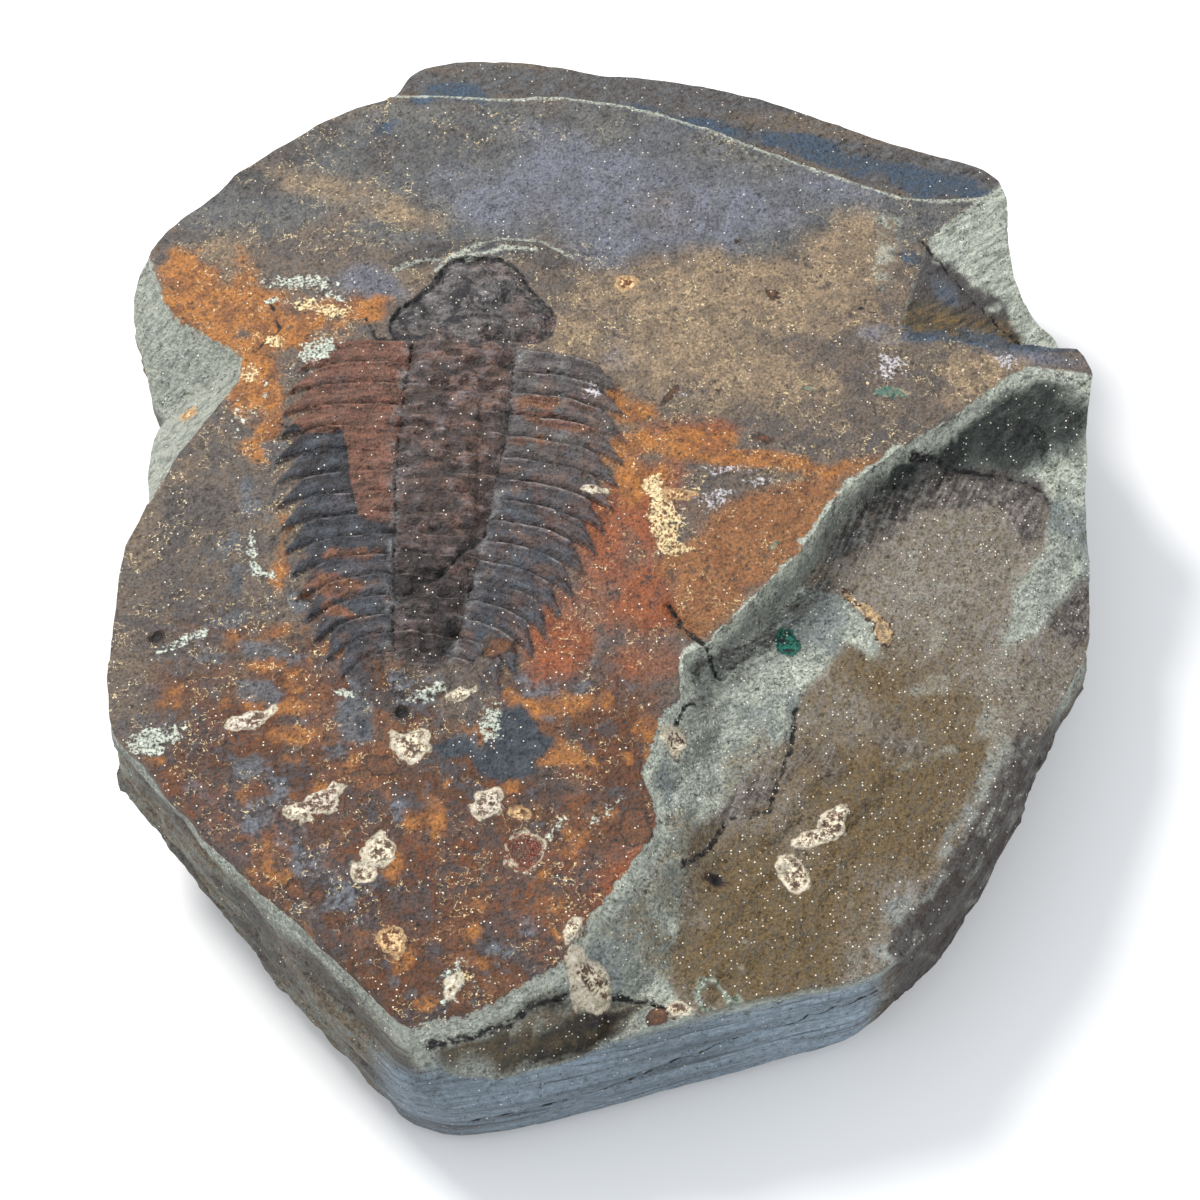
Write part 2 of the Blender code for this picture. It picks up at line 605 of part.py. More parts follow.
def build_top(plan):
    """Triangles of the upper side; the rim's points stay first and in order."""
    count = len(plan.rim)
    coords = [Vector(p) for p in plan.points]
    found = delaunay_2d_cdt(coords, plan.edges, [list(range(count))], 1, 1e-5)
    verts, faces, origins = found[0], found[2], found[3]
    order = {}
    for new, old in enumerate(origins):
        for index in old:
            order.setdefault(index, new)
    rim_ids = [order[k] for k in range(count)]
    rest = [k for k in range(len(verts)) if k not in set(rim_ids)]
    new_id = {old: new for new, old in enumerate(rim_ids + rest)}
    xy = np.array([verts[k][:] for k in rim_ids + rest])
    points = np.column_stack([xy, top_height(xy[:, 0], xy[:, 1])])
    return points, [[new_id[k] for k in face] for face in faces]


# Sides and underside
def wall_rows(rim, rim_height):
    """Rings of points from just under the rim to the resting face."""
    x, y, lean, lean_z, foot_z, tuck = rim.T
    length = np.hypot(x, y)
    out_x, out_y = x / length, y / length
    lean_z = np.minimum(lean_z, rim_height - 6.0)
    foot_z = np.minimum(foot_z, lean_z - 2.0)
    rough = np.where(y < SMOOTH_BAND, 0.25, 1.0) * np.where(x > ROUGH_SIDE, 1.0, 1.6)
    rows = [
        (rim_height * 0.6 + lean_z * 0.4, 0.5 * lean, 0.6),
        (lean_z, lean, 1.0),
        ((lean_z + foot_z) / 2, lean, 1.0),
        (foot_z, 0.8 * lean - 0.4, 0.5),
        (foot_z * 0.4, -0.55 * tuck, 0.4),
        (np.zeros_like(foot_z), -tuck, 0.0),
    ]
    rings = []
    for number, (z, shift, share) in enumerate(rows):
        bump = WALL_BUMP * rough * share * lattice_noise(x + 3.0 * z, y - 2.0 * z, 9.0, 20 + number)
        shift = shift + bump
        rings.append(np.column_stack([x + out_x * shift, y + out_y * shift, z]))
    return rings


def build_slab():
    rim = resample(RIM, RIM_SPACING, closed=True)
    plan = PlanPoints(rim)
    add_ledge_rows(plan)
    add_head_rows(plan)
    add_thorax_rows(plan)
    add_rim_row(plan)
    add_fill(plan)
    points, faces = build_top(plan)
    count = len(rim)
    above = list(range(count))
    for ring in wall_rows(rim, points[:count, 2]):
        below = list(range(len(points), len(points) + count))
        points = np.vstack([points, ring])
        for k in range(count):
            n = (k + 1) % count
            faces.append([above[k], below[k], below[n]])
            faces.append([above[k], below[n], above[n]])
        above = below
    base = delaunay_2d_cdt([Vector(points[k, :2]) for k in above], [], [list(range(count))], 1, 1e-5)
    base_id = {new: above[old[0]] for new, old in enumerate(base[3])}
    faces += [[base_id[k] for k in reversed(face)] for face in base[2]]
    low, high = points.min(axis=0), points.max(axis=0)
    points[:, :2] -= (low[:2] + high[:2]) / 2
    return points * MM, faces


def stone_material():
    mat = bpy.data.materials.new("stone")
    mat.use_nodes = True
    shader = mat.node_tree.nodes["Principled BSDF"]
    shader.inputs["Base Color"].default_value = STONE_COLOUR
    shader.inputs["Roughness"].default_value = STONE_ROUGHNESS
    shader.inputs["Metallic"].default_value = 0.0
    mat.diffuse_color = STONE_COLOUR
    return mat


def make_fossil_slab():
    points, faces = build_slab()
    mesh = bpy.data.meshes.new("fossil_slab")
    mesh.from_pydata([tuple(p) for p in points], [], faces)
    mesh.validate()
    slab = bpy.data.objects.new("fossil_slab", mesh)
    bpy.context.scene.collection.objects.link(slab)
    slab.data.materials.append(stone_material())
    mesh.shade_smooth()
    mesh.set_sharp_from_angle(angle=SHARP_ANGLE)
    return slab


for old in list(bpy.data.objects):
    bpy.data.objects.remove(old, do_unlink=True)
make_fossil_slab()
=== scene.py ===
import math

import bpy
import numpy as np
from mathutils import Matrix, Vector
from mathutils.geometry import delaunay_2d_cdt


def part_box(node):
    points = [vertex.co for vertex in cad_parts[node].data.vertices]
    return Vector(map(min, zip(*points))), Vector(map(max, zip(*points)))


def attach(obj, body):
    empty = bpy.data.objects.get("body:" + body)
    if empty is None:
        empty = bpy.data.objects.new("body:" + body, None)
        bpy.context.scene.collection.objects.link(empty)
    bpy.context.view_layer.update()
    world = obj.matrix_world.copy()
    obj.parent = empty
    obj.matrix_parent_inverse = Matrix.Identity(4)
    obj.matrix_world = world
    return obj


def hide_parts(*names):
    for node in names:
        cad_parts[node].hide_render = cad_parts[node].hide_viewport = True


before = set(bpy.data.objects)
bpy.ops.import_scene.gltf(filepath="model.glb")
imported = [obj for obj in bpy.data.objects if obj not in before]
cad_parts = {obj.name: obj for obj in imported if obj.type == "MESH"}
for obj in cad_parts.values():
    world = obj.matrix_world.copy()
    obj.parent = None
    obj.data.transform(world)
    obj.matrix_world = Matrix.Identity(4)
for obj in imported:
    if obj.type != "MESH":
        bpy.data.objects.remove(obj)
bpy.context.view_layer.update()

mm = 0.001


# Small helpers for noise and distances

def softStep(t):
    t = np.clip(t, 0.0, 1.0)
    return t * t * (3.0 - 2.0 * t)


def waves(x, y, size, seed):
    # smooth random swell from -1 to 1, lumps about `size` across
    gx, gy = x / size, y / size
    ix, iy = np.floor(gx), np.floor(gy)
    fx, fy = softStep(gx - ix), softStep(gy - iy)

    def corner(dx, dy):
        h = np.sin((ix + dx) * 127.1 + (iy + dy) * 311.7 + seed * 74.7) * 43758.5453
        return 2.0 * (h - np.floor(h)) - 1.0

    low = corner(0, 0) * (1 - fx) + corner(1, 0) * fx
    high = corner(0, 1) * (1 - fx) + corner(1, 1) * fx
    return low * (1 - fy) + high * fy


def crumble(x, y, size, seed, layers=3):
    # several swells on top of each other, each half the size and height of the last
    total = np.zeros_like(x)
    for k in range(layers):
        total += waves(x, y, size / 2 ** k, seed + 3 * k) / 2 ** k
    return total / 1.6


def streaks(x, y, angle, length, width, seed):
    # long thin swells running at `angle` degrees
    c, s = math.cos(math.radians(angle)), math.sin(math.radians(angle))
    return waves((x * c + y * s) * width / length, y * c - x * s, width, seed)


def layered(t, sharp=0.18):
    # turns a swell into thin flat layers with short steps between them
    base = np.floor(t)
    return base + softStep((t - base - 0.5) / sharp + 0.5)


def lineDistance(x, y, line, closed=False):
    # distance to a line of points, and the line's own extra values there
    pts = np.array(line, dtype=float)
    ends = np.roll(pts, -1, axis=0) if closed else pts[1:]
    best = np.full(x.shape, 1e9)
    extra = np.zeros(x.shape + (pts.shape[1] - 2,))
    for p, q in zip(pts, ends):
        ex, ey = q[0] - p[0], q[1] - p[1]
        t = np.clip(((x - p[0]) * ex + (y - p[1]) * ey) / (ex * ex + ey * ey), 0.0, 1.0)
        d = np.hypot(x - p[0] - t * ex, y - p[1] - t * ey)
        near = d < best
        best = np.where(near, d, best)
        if extra.shape[-1]:
            extra = np.where(near[..., None], p[2:] + t[..., None] * (q[2:] - p[2:]), extra)
    return best, extra


def inside(x, y, polygon):
    hit = np.zeros(x.shape, dtype=bool)
    px, py = polygon[-1][:2]
    for row in polygon:
        qx, qy = row[:2]
        if qy != py:
            hit ^= ((qy > y) != (py > y)) & (x < (px - qx) * (y - qy) / (py - qy) + qx)
        px, py = qx, qy
    return hit


def sideOf(x, y, edge, farCorners):
    # distance to an edge, positive on the side closed by the far corners
    d, extra = lineDistance(x, y, edge)
    region = [row[:2] for row in edge] + farCorners
    return np.where(inside(x, y, region), d, -d), extra


def depthIn(x, y, polygon):
    d, _ = lineDistance(x, y, polygon, closed=True)
    return np.where(inside(x, y, polygon), d, -d)


# The slab's outline and its two bedding faces.
# rim rows: x, y, lean of the side, height where it leans most, height of the foot, tuck of the foot
slab = {
    "upperBed": 43.0,
    "lowerBed": 33.2,
    "frontStepDrop": 7.0,
    "tipShelfRise": 3.4,
    "flakeThickness": 1.0,
    "backStepDrop": 1.3,
    "backFall": 0.14,
    "leftBreakStep": 1.0,
    "leftBreakSlope": 0.78,
    "far": 180.0,  # well outside the stone, to close a region
    "facetRows": (8, 14),  # the rim rows that the dark facet at the lower right follows
    "rim": [
        (-33.8, -114.6, 4.2, 26, 3, 7), (-27.5, -116.8, 3.0, 19, 2.5, 6), (-16.0, -115.6, 2.6, 17, 2.5, 6),
        (-1.0, -111.9, 2.3, 17, 2.5, 6), (16.0, -107.0, 2.0, 17, 2.5, 6), (33.0, -103.0, 1.2, 18, 3, 7),
        (45.0, -100.4, 0.8, 18, 5, 8), (51.5, -97.6, 0.6, 18, 8, 10), (57.0, -92.8, 0.8, 18, 9, 11),
        (62.2, -87.0, 0.8, 18, 10, 12), (68.8, -78.0, 0.6, 19, 11, 12), (75.0, -68.0, 0.5, 20, 12, 12),
        (82.8, -51.6, 0.4, 20, 13, 13), (91.0, -35.2, 0.4, 20, 14, 14), (95.4, -26.4, 0.3, 20, 14, 14),
        (96.8, -16.0, 0.3, 20, 14, 14), (97.5, -5.0, 0.3, 22, 14, 14), (97.2, 6.0, 0.4, 24, 14, 14),
        (97.4, 15.0, 0.4, 26, 14, 14), (98.2, 23.0, 0.3, 26, 14, 15), (99.3, 29.5, 0.2, 26, 14, 16),
        (98.0, 34.2, 0.4, 26, 14, 16), (96.0, 37.0, 0.8, 26, 14, 15), (96.4, 42.0, 0.5, 24, 14, 15),
        (94.4, 47.0, 0.5, 24, 13, 15), (91.2, 50.6, 0.5, 24, 13, 14), (88.2, 54.8, 0.5, 24, 13, 13),
        (86.4, 60.0, 0.5, 24, 13, 12), (85.4, 67.0, 0.5, 26, 13, 12), (85.4, 73.0, 0.5, 26, 13, 13),
        (85.6, 77.5, 0.6, 26, 13, 14), (84.2, 82.6, 0.5, 26, 13, 15), (81.2, 86.3, 0.5, 28, 12, 15),
        (74.8, 89.4, 0.8, 28, 12, 14), (65.3, 93.6, 1.0, 28, 12, 13), (60.0, 95.6, 0.6, 28, 12, 13),
        (47.2, 101.0, 1.0, 28, 12, 13), (34.2, 106.8, 1.2, 28, 12, 13), (21.1, 110.6, 0.8, 28, 12, 13),
        (7.8, 113.0, 0.6, 28, 12, 14), (-1.0, 114.0, 0.8, 28, 13, 15), (-9.9, 116.2, 0.6, 28, 13, 16),
        (-23.2, 118.3, 0.4, 28, 14, 18), (-33.2, 117.8, 0.4, 28, 15, 20), (-39.8, 115.8, 0.6, 28, 16, 22),
        (-43.2, 113.0, 0.6, 28, 16, 22), (-45.4, 108.2, 1.0, 28, 16, 20), (-48.2, 104.2, 1.2, 28, 16, 19),
        (-55.6, 101.4, 0.4, 28, 16, 20), (-62.0, 98.2, 0.2, 28, 16, 21), (-66.4, 94.4, 0.2, 28, 16, 21),
        (-71.0, 90.6, 0.6, 28, 17, 22), (-76.4, 85.7, 0.6, 28, 17, 23), (-79.7, 82.8, 1.0, 28, 17, 23),
        (-82.5, 77.9, 0.6, 28, 18, 24), (-89.3, 71.4, 0.6, 28, 18, 25), (-93.2, 66.8, 0.8, 28, 18, 26),
        (-95.6, 61.6, 0.8, 28, 19, 27), (-98.2, 58.0, 0.2, 26, 19, 28), (-99.6, 53.5, 0.2, 24, 19, 29),
        (-98.8, 47.5, 0.2, 24, 19, 29), (-96.0, 37.2, 0.2, 24, 19, 29), (-94.2, 31.5, 0.2, 24, 19, 28),
        (-91.2, 26.4, 0.4, 24, 19, 26), (-92.6, 22.6, 0.2, 24, 19, 27), (-92.8, 15.0, 0.2, 24, 19, 28),
        (-92.6, 7.0, 0.2, 24, 20, 28), (-91.0, -1.5, 0.2, 26, 20, 28), (-92.0, -6.5, 0.6, 27, 21, 28),
        (-94.3, -12.5, 0.4, 27, 21, 29), (-95.3, -22.0, 0.4, 28, 22, 30), (-95.6, -33.0, 0.4, 28, 22, 30),
        (-95.2, -42.0, 0.4, 28, 22, 30), (-94.2, -50.0, 0.4, 28, 22, 30), (-92.4, -55.8, 0.8, 27, 18, 27),
        (-85.2, -63.0, 1.2, 27, 16, 25), (-76.9, -72.8, 1.6, 27, 13, 21), (-67.0, -82.6, 2.4, 27, 10, 17),
        (-59.3, -89.9, 3.6, 27, 8, 13), (-49.7, -99.2, 4.8, 27, 6, 10), (-42.0, -107.0, 5.4, 27, 4, 8),
        (-37.2, -111.6, 5.4, 27, 3, 7),
    ],
    # broken edge of the upper bed: x, y, width of the break in plan, how hollow it is
    "upperEdge": [
        (-38.5, -121.0, 6.0, 1.0), (-34.6, -113.4, 6.0, 1.0), (-31.2, -112.3, 6.0, 1.0),
        (-24.1, -110.9, 6.0, 1.0), (-18.9, -108.2, 7.0, 1.0), (-13.5, -104.6, 8.5, 1.0),
        (-8.2, -101.8, 10.0, 1.1), (-5.5, -95.9, 12.0, 1.1), (-1.0, -89.9, 14.0, 1.1),
        (3.6, -82.8, 14.0, 1.1), (6.4, -78.7, 13.0, 1.1), (9.2, -73.5, 13.0, 1.2),
        (8.3, -68.3, 14.0, 1.2), (6.5, -63.0, 15.0, 1.2), (8.4, -56.6, 14.0, 1.2),
        (10.4, -50.1, 12.0, 1.2), (14.2, -46.8, 9.0, 1.2), (14.3, -42.4, 6.0, 1.1),
        (14.6, -37.0, 3.0, 1.0), (20.5, -33.8, 2.0, 1.0), (30.1, -22.8, 1.7, 1.0),
        (38.2, -13.0, 1.7, 1.0), (45.6, -0.5, 1.7, 1.0), (52.9, 6.8, 1.8, 1.0),
        (59.2, 11.6, 2.2, 1.2), (69.7, 19.0, 6.5, 1.6), (77.2, 25.3, 15.0, 1.8),
        (82.7, 29.8, 22.0, 1.8), (86.5, 31.6, 26.0, 1.8), (99.6, 29.6, 38.0, 1.6),
        (160.0, 22.0, 38.0, 1.6),
    ],
    "leftBreak": [
        (-95.9, 61.0), (-91.6, 48.8), (-88.6, 44.4), (-81.5, 39.5), (-74.4, 34.6),
        (-74.8, 28.0), (-77.4, 24.2), (-85.4, 10.6), (-90.6, -2.4),
    ],
    "backStep": [
        (-46.0, 105.6), (-36.0, 105.4), (-22.8, 104.3), (-9.7, 105.0), (3.4, 102.8), (12.0, 100.0),
        (20.7, 96.5), (33.5, 90.0), (42.0, 85.8), (52.5, 81.0), (62.9, 76.6), (72.0, 75.4), (84.0, 77.0),
    ],
    "lowerRoll": [
        (91.0, 6.0), (87.0, -14.0), (82.0, -30.0), (79.5, -48.0), (76.0, -60.0),
        (71.5, -69.5), (66.0, -77.0), (60.0, -84.0), (55.5, -90.5), (52.0, -101.0),
    ],
    "flakeEdge": [
        (20.6, -33.5), (14.5, -29.0), (12.0, -24.4), (13.8, -19.8), (14.7, -14.0),
        (10.8, -11.7), (9.3, -8.1), (7.0, 0.2), (8.6, 4.6),
    ],
    "bightSouth": [
        (40.0, 50.0), (59.0, 42.8), (67.1, 39.8), (76.4, 37.8), (85.8, 37.3), (94.6, 36.4), (130.0, 33.0),
    ],
    # the bight's two faces: a point where each meets the upper bed, which way it falls, and how steeply
    "bightDark": {"start": (59.0, 43.0), "run": (0.953, -0.303), "fall": 0.374},
    "bightPale": {"start": (66.6, 66.0), "fallEast": 0.227, "riseNorth": 0.248},
    "bightWall": 3.6,
    "bightCrack": [(66.4, 65.4), (71.8, 58.6), (77.0, 52.6), (83.0, 47.4), (88.2, 43.6)],
}


# The trilobite. Its own axes start at the neck: side runs to its right, back runs to the tail.
fossil = {
    "neck": (-29.2, 37.0),
    "lean": math.radians(4.8),
    "firstPitch": 5.6,
    "pitchLoss": 0.045,
    "axisSegment": [0, 3, 6, 9, 12, 14, 16, 18],
    "axisHalf": [10.7, 11.1, 10.4, 8.9, 7.4, 6.4, 4.9, 2.0],
    "widthSegment": [0, 2, 5, 7, 9, 11, 13, 15, 16, 18],
    "widthHalf": [31.0, 34.0, 33.7, 31.7, 28.7, 24.8, 20.5, 14.8, 11.0, 5.0],
    "axisHeight": 1.9,
    "ringGroove": 0.6,
    "pleuraHeight": 0.7,
    "sideFurrow": 0.6,
    "tailEnd": 16.0,
    "tailShield": (0.0, 79.5, 7.0, 5.5, 1.2),
    # heights across one rib, front margin to back margin
    "ribPhase": [0.0, 0.05, 0.12, 0.20, 0.30, 0.45, 0.70, 0.88, 0.96, 1.0],
    "ribHeight": [-0.35, 0.05, 0.50, 0.12, -0.05, 0.30, 0.52, 0.30, -0.10, -0.35],
    # how far each rib reaches, so that every tip ends in a spine hooked to the back
    "tipPhase": [0.0, 0.15, 0.5, 0.80, 0.90, 0.97, 1.0],
    "tipReach": [0.83, 0.87, 0.96, 1.06, 1.04, 0.90, 0.83],
    "head": [
        (-28.3, 60.8), (-32.5, 60.0), (-34.9, 57.1), (-36.9, 53.1), (-40.1, 49.7), (-43.3, 47.1),
        (-45.1, 43.4), (-45.2, 40.8), (-43.6, 38.4), (-39.8, 36.4), (-18.6, 36.4), (-13.6, 37.8),
        (-11.1, 39.5), (-10.1, 42.9), (-11.0, 46.5), (-15.4, 51.3), (-16.9, 55.0), (-19.0, 58.2),
        (-22.0, 60.0), (-25.2, 60.8),
    ],
    "lobe": [
        (-28.3, 59.4), (-31.8, 58.0), (-33.4, 54.0), (-34.2, 49.2), (-35.2, 41.3), (-34.6, 36.6),
        (-19.6, 36.6), (-20.2, 41.3), (-21.0, 49.2), (-22.2, 54.4), (-24.6, 58.2),
    ],
    "border": [
        (-48.0, 58.6), (-44.1, 61.9), (-38.9, 64.3), (-32.7, 65.5), (-26.3, 65.8), (-20.0, 65.7),
        (-13.6, 64.3), (-9.0, 61.8), (-5.8, 57.4), (-12.5, 56.0), (-17.5, 58.6), (-22.0, 61.8),
        (-28.3, 62.4), (-33.4, 61.2), (-38.0, 57.6), (-44.0, 56.4),
    ],
    # pale chipped lines along the top of the loose front border
    "paleArcs": [
        [(-36.5, 56.0), (-33.0, 60.0), (-29.4, 62.2), (-22.1, 65.1), (-13.7, 64.6), (-7.3, 60.3)],
        [(-44.5, 56.6), (-40.0, 58.6), (-34.6, 59.8)], [(-29.0, 60.4), (-22.0, 62.6), (-15.0, 62.0)],
    ],
    "headBase": 36.5,
    "headHollow": 1.1,
    "headRise": 1.5,
    "headMoat": 0.8,
    "lobeHeight": 1.5,
    "borderHeight": 0.7,
    # bumps on the head: x, y, radius, height
    "headBumps": [
        (-31.6, 58.3, 2.0, 0.5), (-28.4, 59.4, 1.8, 0.5), (-25.0, 58.6, 1.8, 0.45), (-37.8, 47.0, 3.0, 0.5),
        (-17.0, 47.5, 3.0, 0.5), (-40.5, 42.0, 2.5, 0.35), (-14.5, 42.5, 2.5, 0.35),
    ],
    # furrows across the head's middle lobe: start, end, depth
    "headFurrows": [
        ((-34.0, 47.5), (-29.5, 45.8), 0.5), ((-21.0, 47.5), (-25.5, 45.8), 0.5),
        ((-34.5, 42.8), (-21.0, 42.8), 0.6), ((-33.5, 52.0), (-30.0, 50.8), 0.4), ((-22.0, 52.0), (-25.5, 50.8), 0.4),
    ],
    # brown outer layer that still covers the upper left ribs
    "coverEdge": [
        (-66.5, 17.5), (-64.3, 16.2), (-62.2, 15.8), (-60.6, 14.0), (-58.2, 14.4), (-54.9, 14.0), (-53.2, 14.6),
        (-52.0, 9.0), (-51.4, 4.6), (-50.4, 0.4), (-49.5, -4.6), (-47.0, -6.5), (-38.0, -8.0),
    ],
    "coverThickness": 0.45,
    "coverShown": 11,  # points of that edge that show as a dark line
    # crack across the axis
    "axisCrack": [(-37.6, -20.0), (-34.8, -20.6), (-31.2, -17.8), (-28.6, -14.2), (-25.6, -11.4)],
}


def toBody(x, y):
    dx, dy = x - fossil["neck"][0], y - fossil["neck"][1]
    c, s = math.cos(fossil["lean"]), math.sin(fossil["lean"])
    return dx * c - dy * s, -dx * s - dy * c


def segmentAt(v):
    pitch, loss = fossil["firstPitch"], fossil["pitchLoss"]
    v = np.minimum(v, pitch ** 2 / (4 * loss) - 1.0)
    return (pitch - np.sqrt(pitch ** 2 - 4 * loss * v)) / (2 * loss)


def axisHalf(i):
    return np.interp(i, fossil["axisSegment"], fossil["axisHalf"])


def bodyHalf(i):
    return np.interp(i, fossil["widthSegment"], fossil["widthHalf"])


def sweepBack(t, i):
    t = np.clip(t, 0.0, 1.15)
    slope = 0.04 + 0.0013 * np.clip(i, 0, 18) ** 2
    return slope * (bodyHalf(i) - axisHalf(i)) * t + (3.4 + 0.12 * i) * t ** 4


def tipLimit(i):
    # how far a rib reaches, from its front margin to its back margin
    return np.interp(i - np.floor(i), fossil["tipPhase"], fossil["tipReach"])


def bodyPlace(x, y):
    # side offset, segment number and place along the rib, 0 at the axis and 1 at the tip
    u, v = toBody(x, y)
    i = segmentAt(v)
    t = np.zeros_like(u)
    for _ in range(8):
        t = (np.abs(u) - axisHalf(i)) / (bodyHalf(i) - axisHalf(i))
        i = 0.5 * i + 0.5 * segmentAt(v - sweepBack(np.maximum(t, 0.0), i))
    return u, i + 0.045 * crumble(x, y, 4.5, 63), t + 0.02 * crumble(x, y, 3.0, 65)


def thoraxRelief(x, y):
    u, i, t = bodyPlace(x, y)
    across = np.clip(np.abs(u) / axisHalf(i), 0.0, 1.0)
    f = i - np.floor(i)
    arched = i + 0.16 * across ** 2
    g = arched - np.floor(arched)
    groove = np.exp(-(np.minimum(g, 1 - g) / 0.11) ** 2) + 0.4 * np.exp(-((g - 0.28) / 0.06) ** 2)
    ring = fossil["axisHeight"] * np.sqrt(1.0 - across ** 2) - fossil["ringGroove"] * groove
    ring += 0.35 * np.exp(-(u / 1.6) ** 2 - ((g - 0.6) / 0.2) ** 2)
    reach = bodyHalf(i) - axisHalf(i)
    limit = tipLimit(i)
    rib = np.interp(f, fossil["ribPhase"], fossil["ribHeight"])
    oblique = 0.16 * np.exp(-((f - 0.30 - 0.35 * t) / 0.07) ** 2) * softStep(t / 0.2)
    pleura = (fossil["pleuraHeight"] + rib - oblique) * softStep((limit - t) * reach / 1.3)
    pleura -= fossil["sideFurrow"] * np.exp(-(t * reach / 1.6) ** 2)
    relief = np.where(t < 0.0, ring - fossil["sideFurrow"] * np.exp(-(t * reach / 1.6) ** 2), pleura)
    ends = softStep((i + 0.15) / 0.3) * softStep((fossil["tailEnd"] - i) / 1.2)
    side, back = toBody(x, y)
    middle, start, halfWidth, halfLength, height = fossil["tailShield"]
    spread = ((side - middle) / halfWidth) ** 2 + ((back - start) / halfLength) ** 2
    tail = softStep(1.8 * (1.0 - spread))
    tailRings = 0.2 * np.sin(back * 3.2) * tail
    onBody = softStep((limit - t) * reach / 1.3) * ends
    onAxis = softStep((0.1 - t) / 0.2)
    lower = onAxis * softStep((i - 9.5) / 2.5)
    worn = 0.26 * crumble(x, y, 2.6, 61) + 0.16 * waves(x, y, 6.0, 67)
    folds = 0.55 * crumble(x, y, 2.2, 68) + 0.8 * crumble(x, y * 1.9, 3.4, 66, 2)
    hollows = 0.4 + 0.9 * softStep(1.6 * crumble(x, y, 5.0, 69))
    worn += onAxis * folds - lower * hollows
    fade = 0.82 + 0.3 * crumble(x, y, 8.0, 70)
    return relief * ends * (1.0 - tail) * fade + height * tail + tailRings + worn * onBody


def headRelief(x, y):
    depth = depthIn(x, y, fossil["head"])
    shield = fossil["headRise"] * softStep((depth - fossil["headMoat"]) / 3.0) - fossil["headHollow"]
    shield *= softStep(depth / fossil["headMoat"]) * softStep((y - fossil["headBase"]) / 3.0)
    lobeDepth = depthIn(x, y, fossil["lobe"])
    lobe = fossil["lobeHeight"] * np.sqrt(softStep(lobeDepth / 5.0))
    border = depthIn(x, y, fossil["border"])
    rolled = fossil["borderHeight"] * softStep(border / 1.6) - 0.35 * softStep((border - 1.4) / 1.0)
    z = shield + lobe + rolled
    for cx, cy, radius, height in fossil["headBumps"]:
        z += height * np.exp(-((x - cx) ** 2 + (y - cy) ** 2) / (0.6 * radius) ** 2)
    for start, end, dip in fossil["headFurrows"]:
        d, _ = lineDistance(x, y, [start, end])
        z -= dip * np.exp(-(d / 0.7) ** 2)
    return z + softStep(depth / 2.0) * (0.62 * crumble(x, y, 3.2, 71) + 0.30 * crumble(x, y, 1.3, 74))


def coverDepth(x, y):
    closing = [(-26.0, -8.0), (-26.0, 46.0), (-80.0, 46.0), (-80.0, 17.5)]
    d, _ = sideOf(x, y, fossil["coverEdge"], closing)
    return d + 0.5 * crumble(x, y, 3.0, 15)


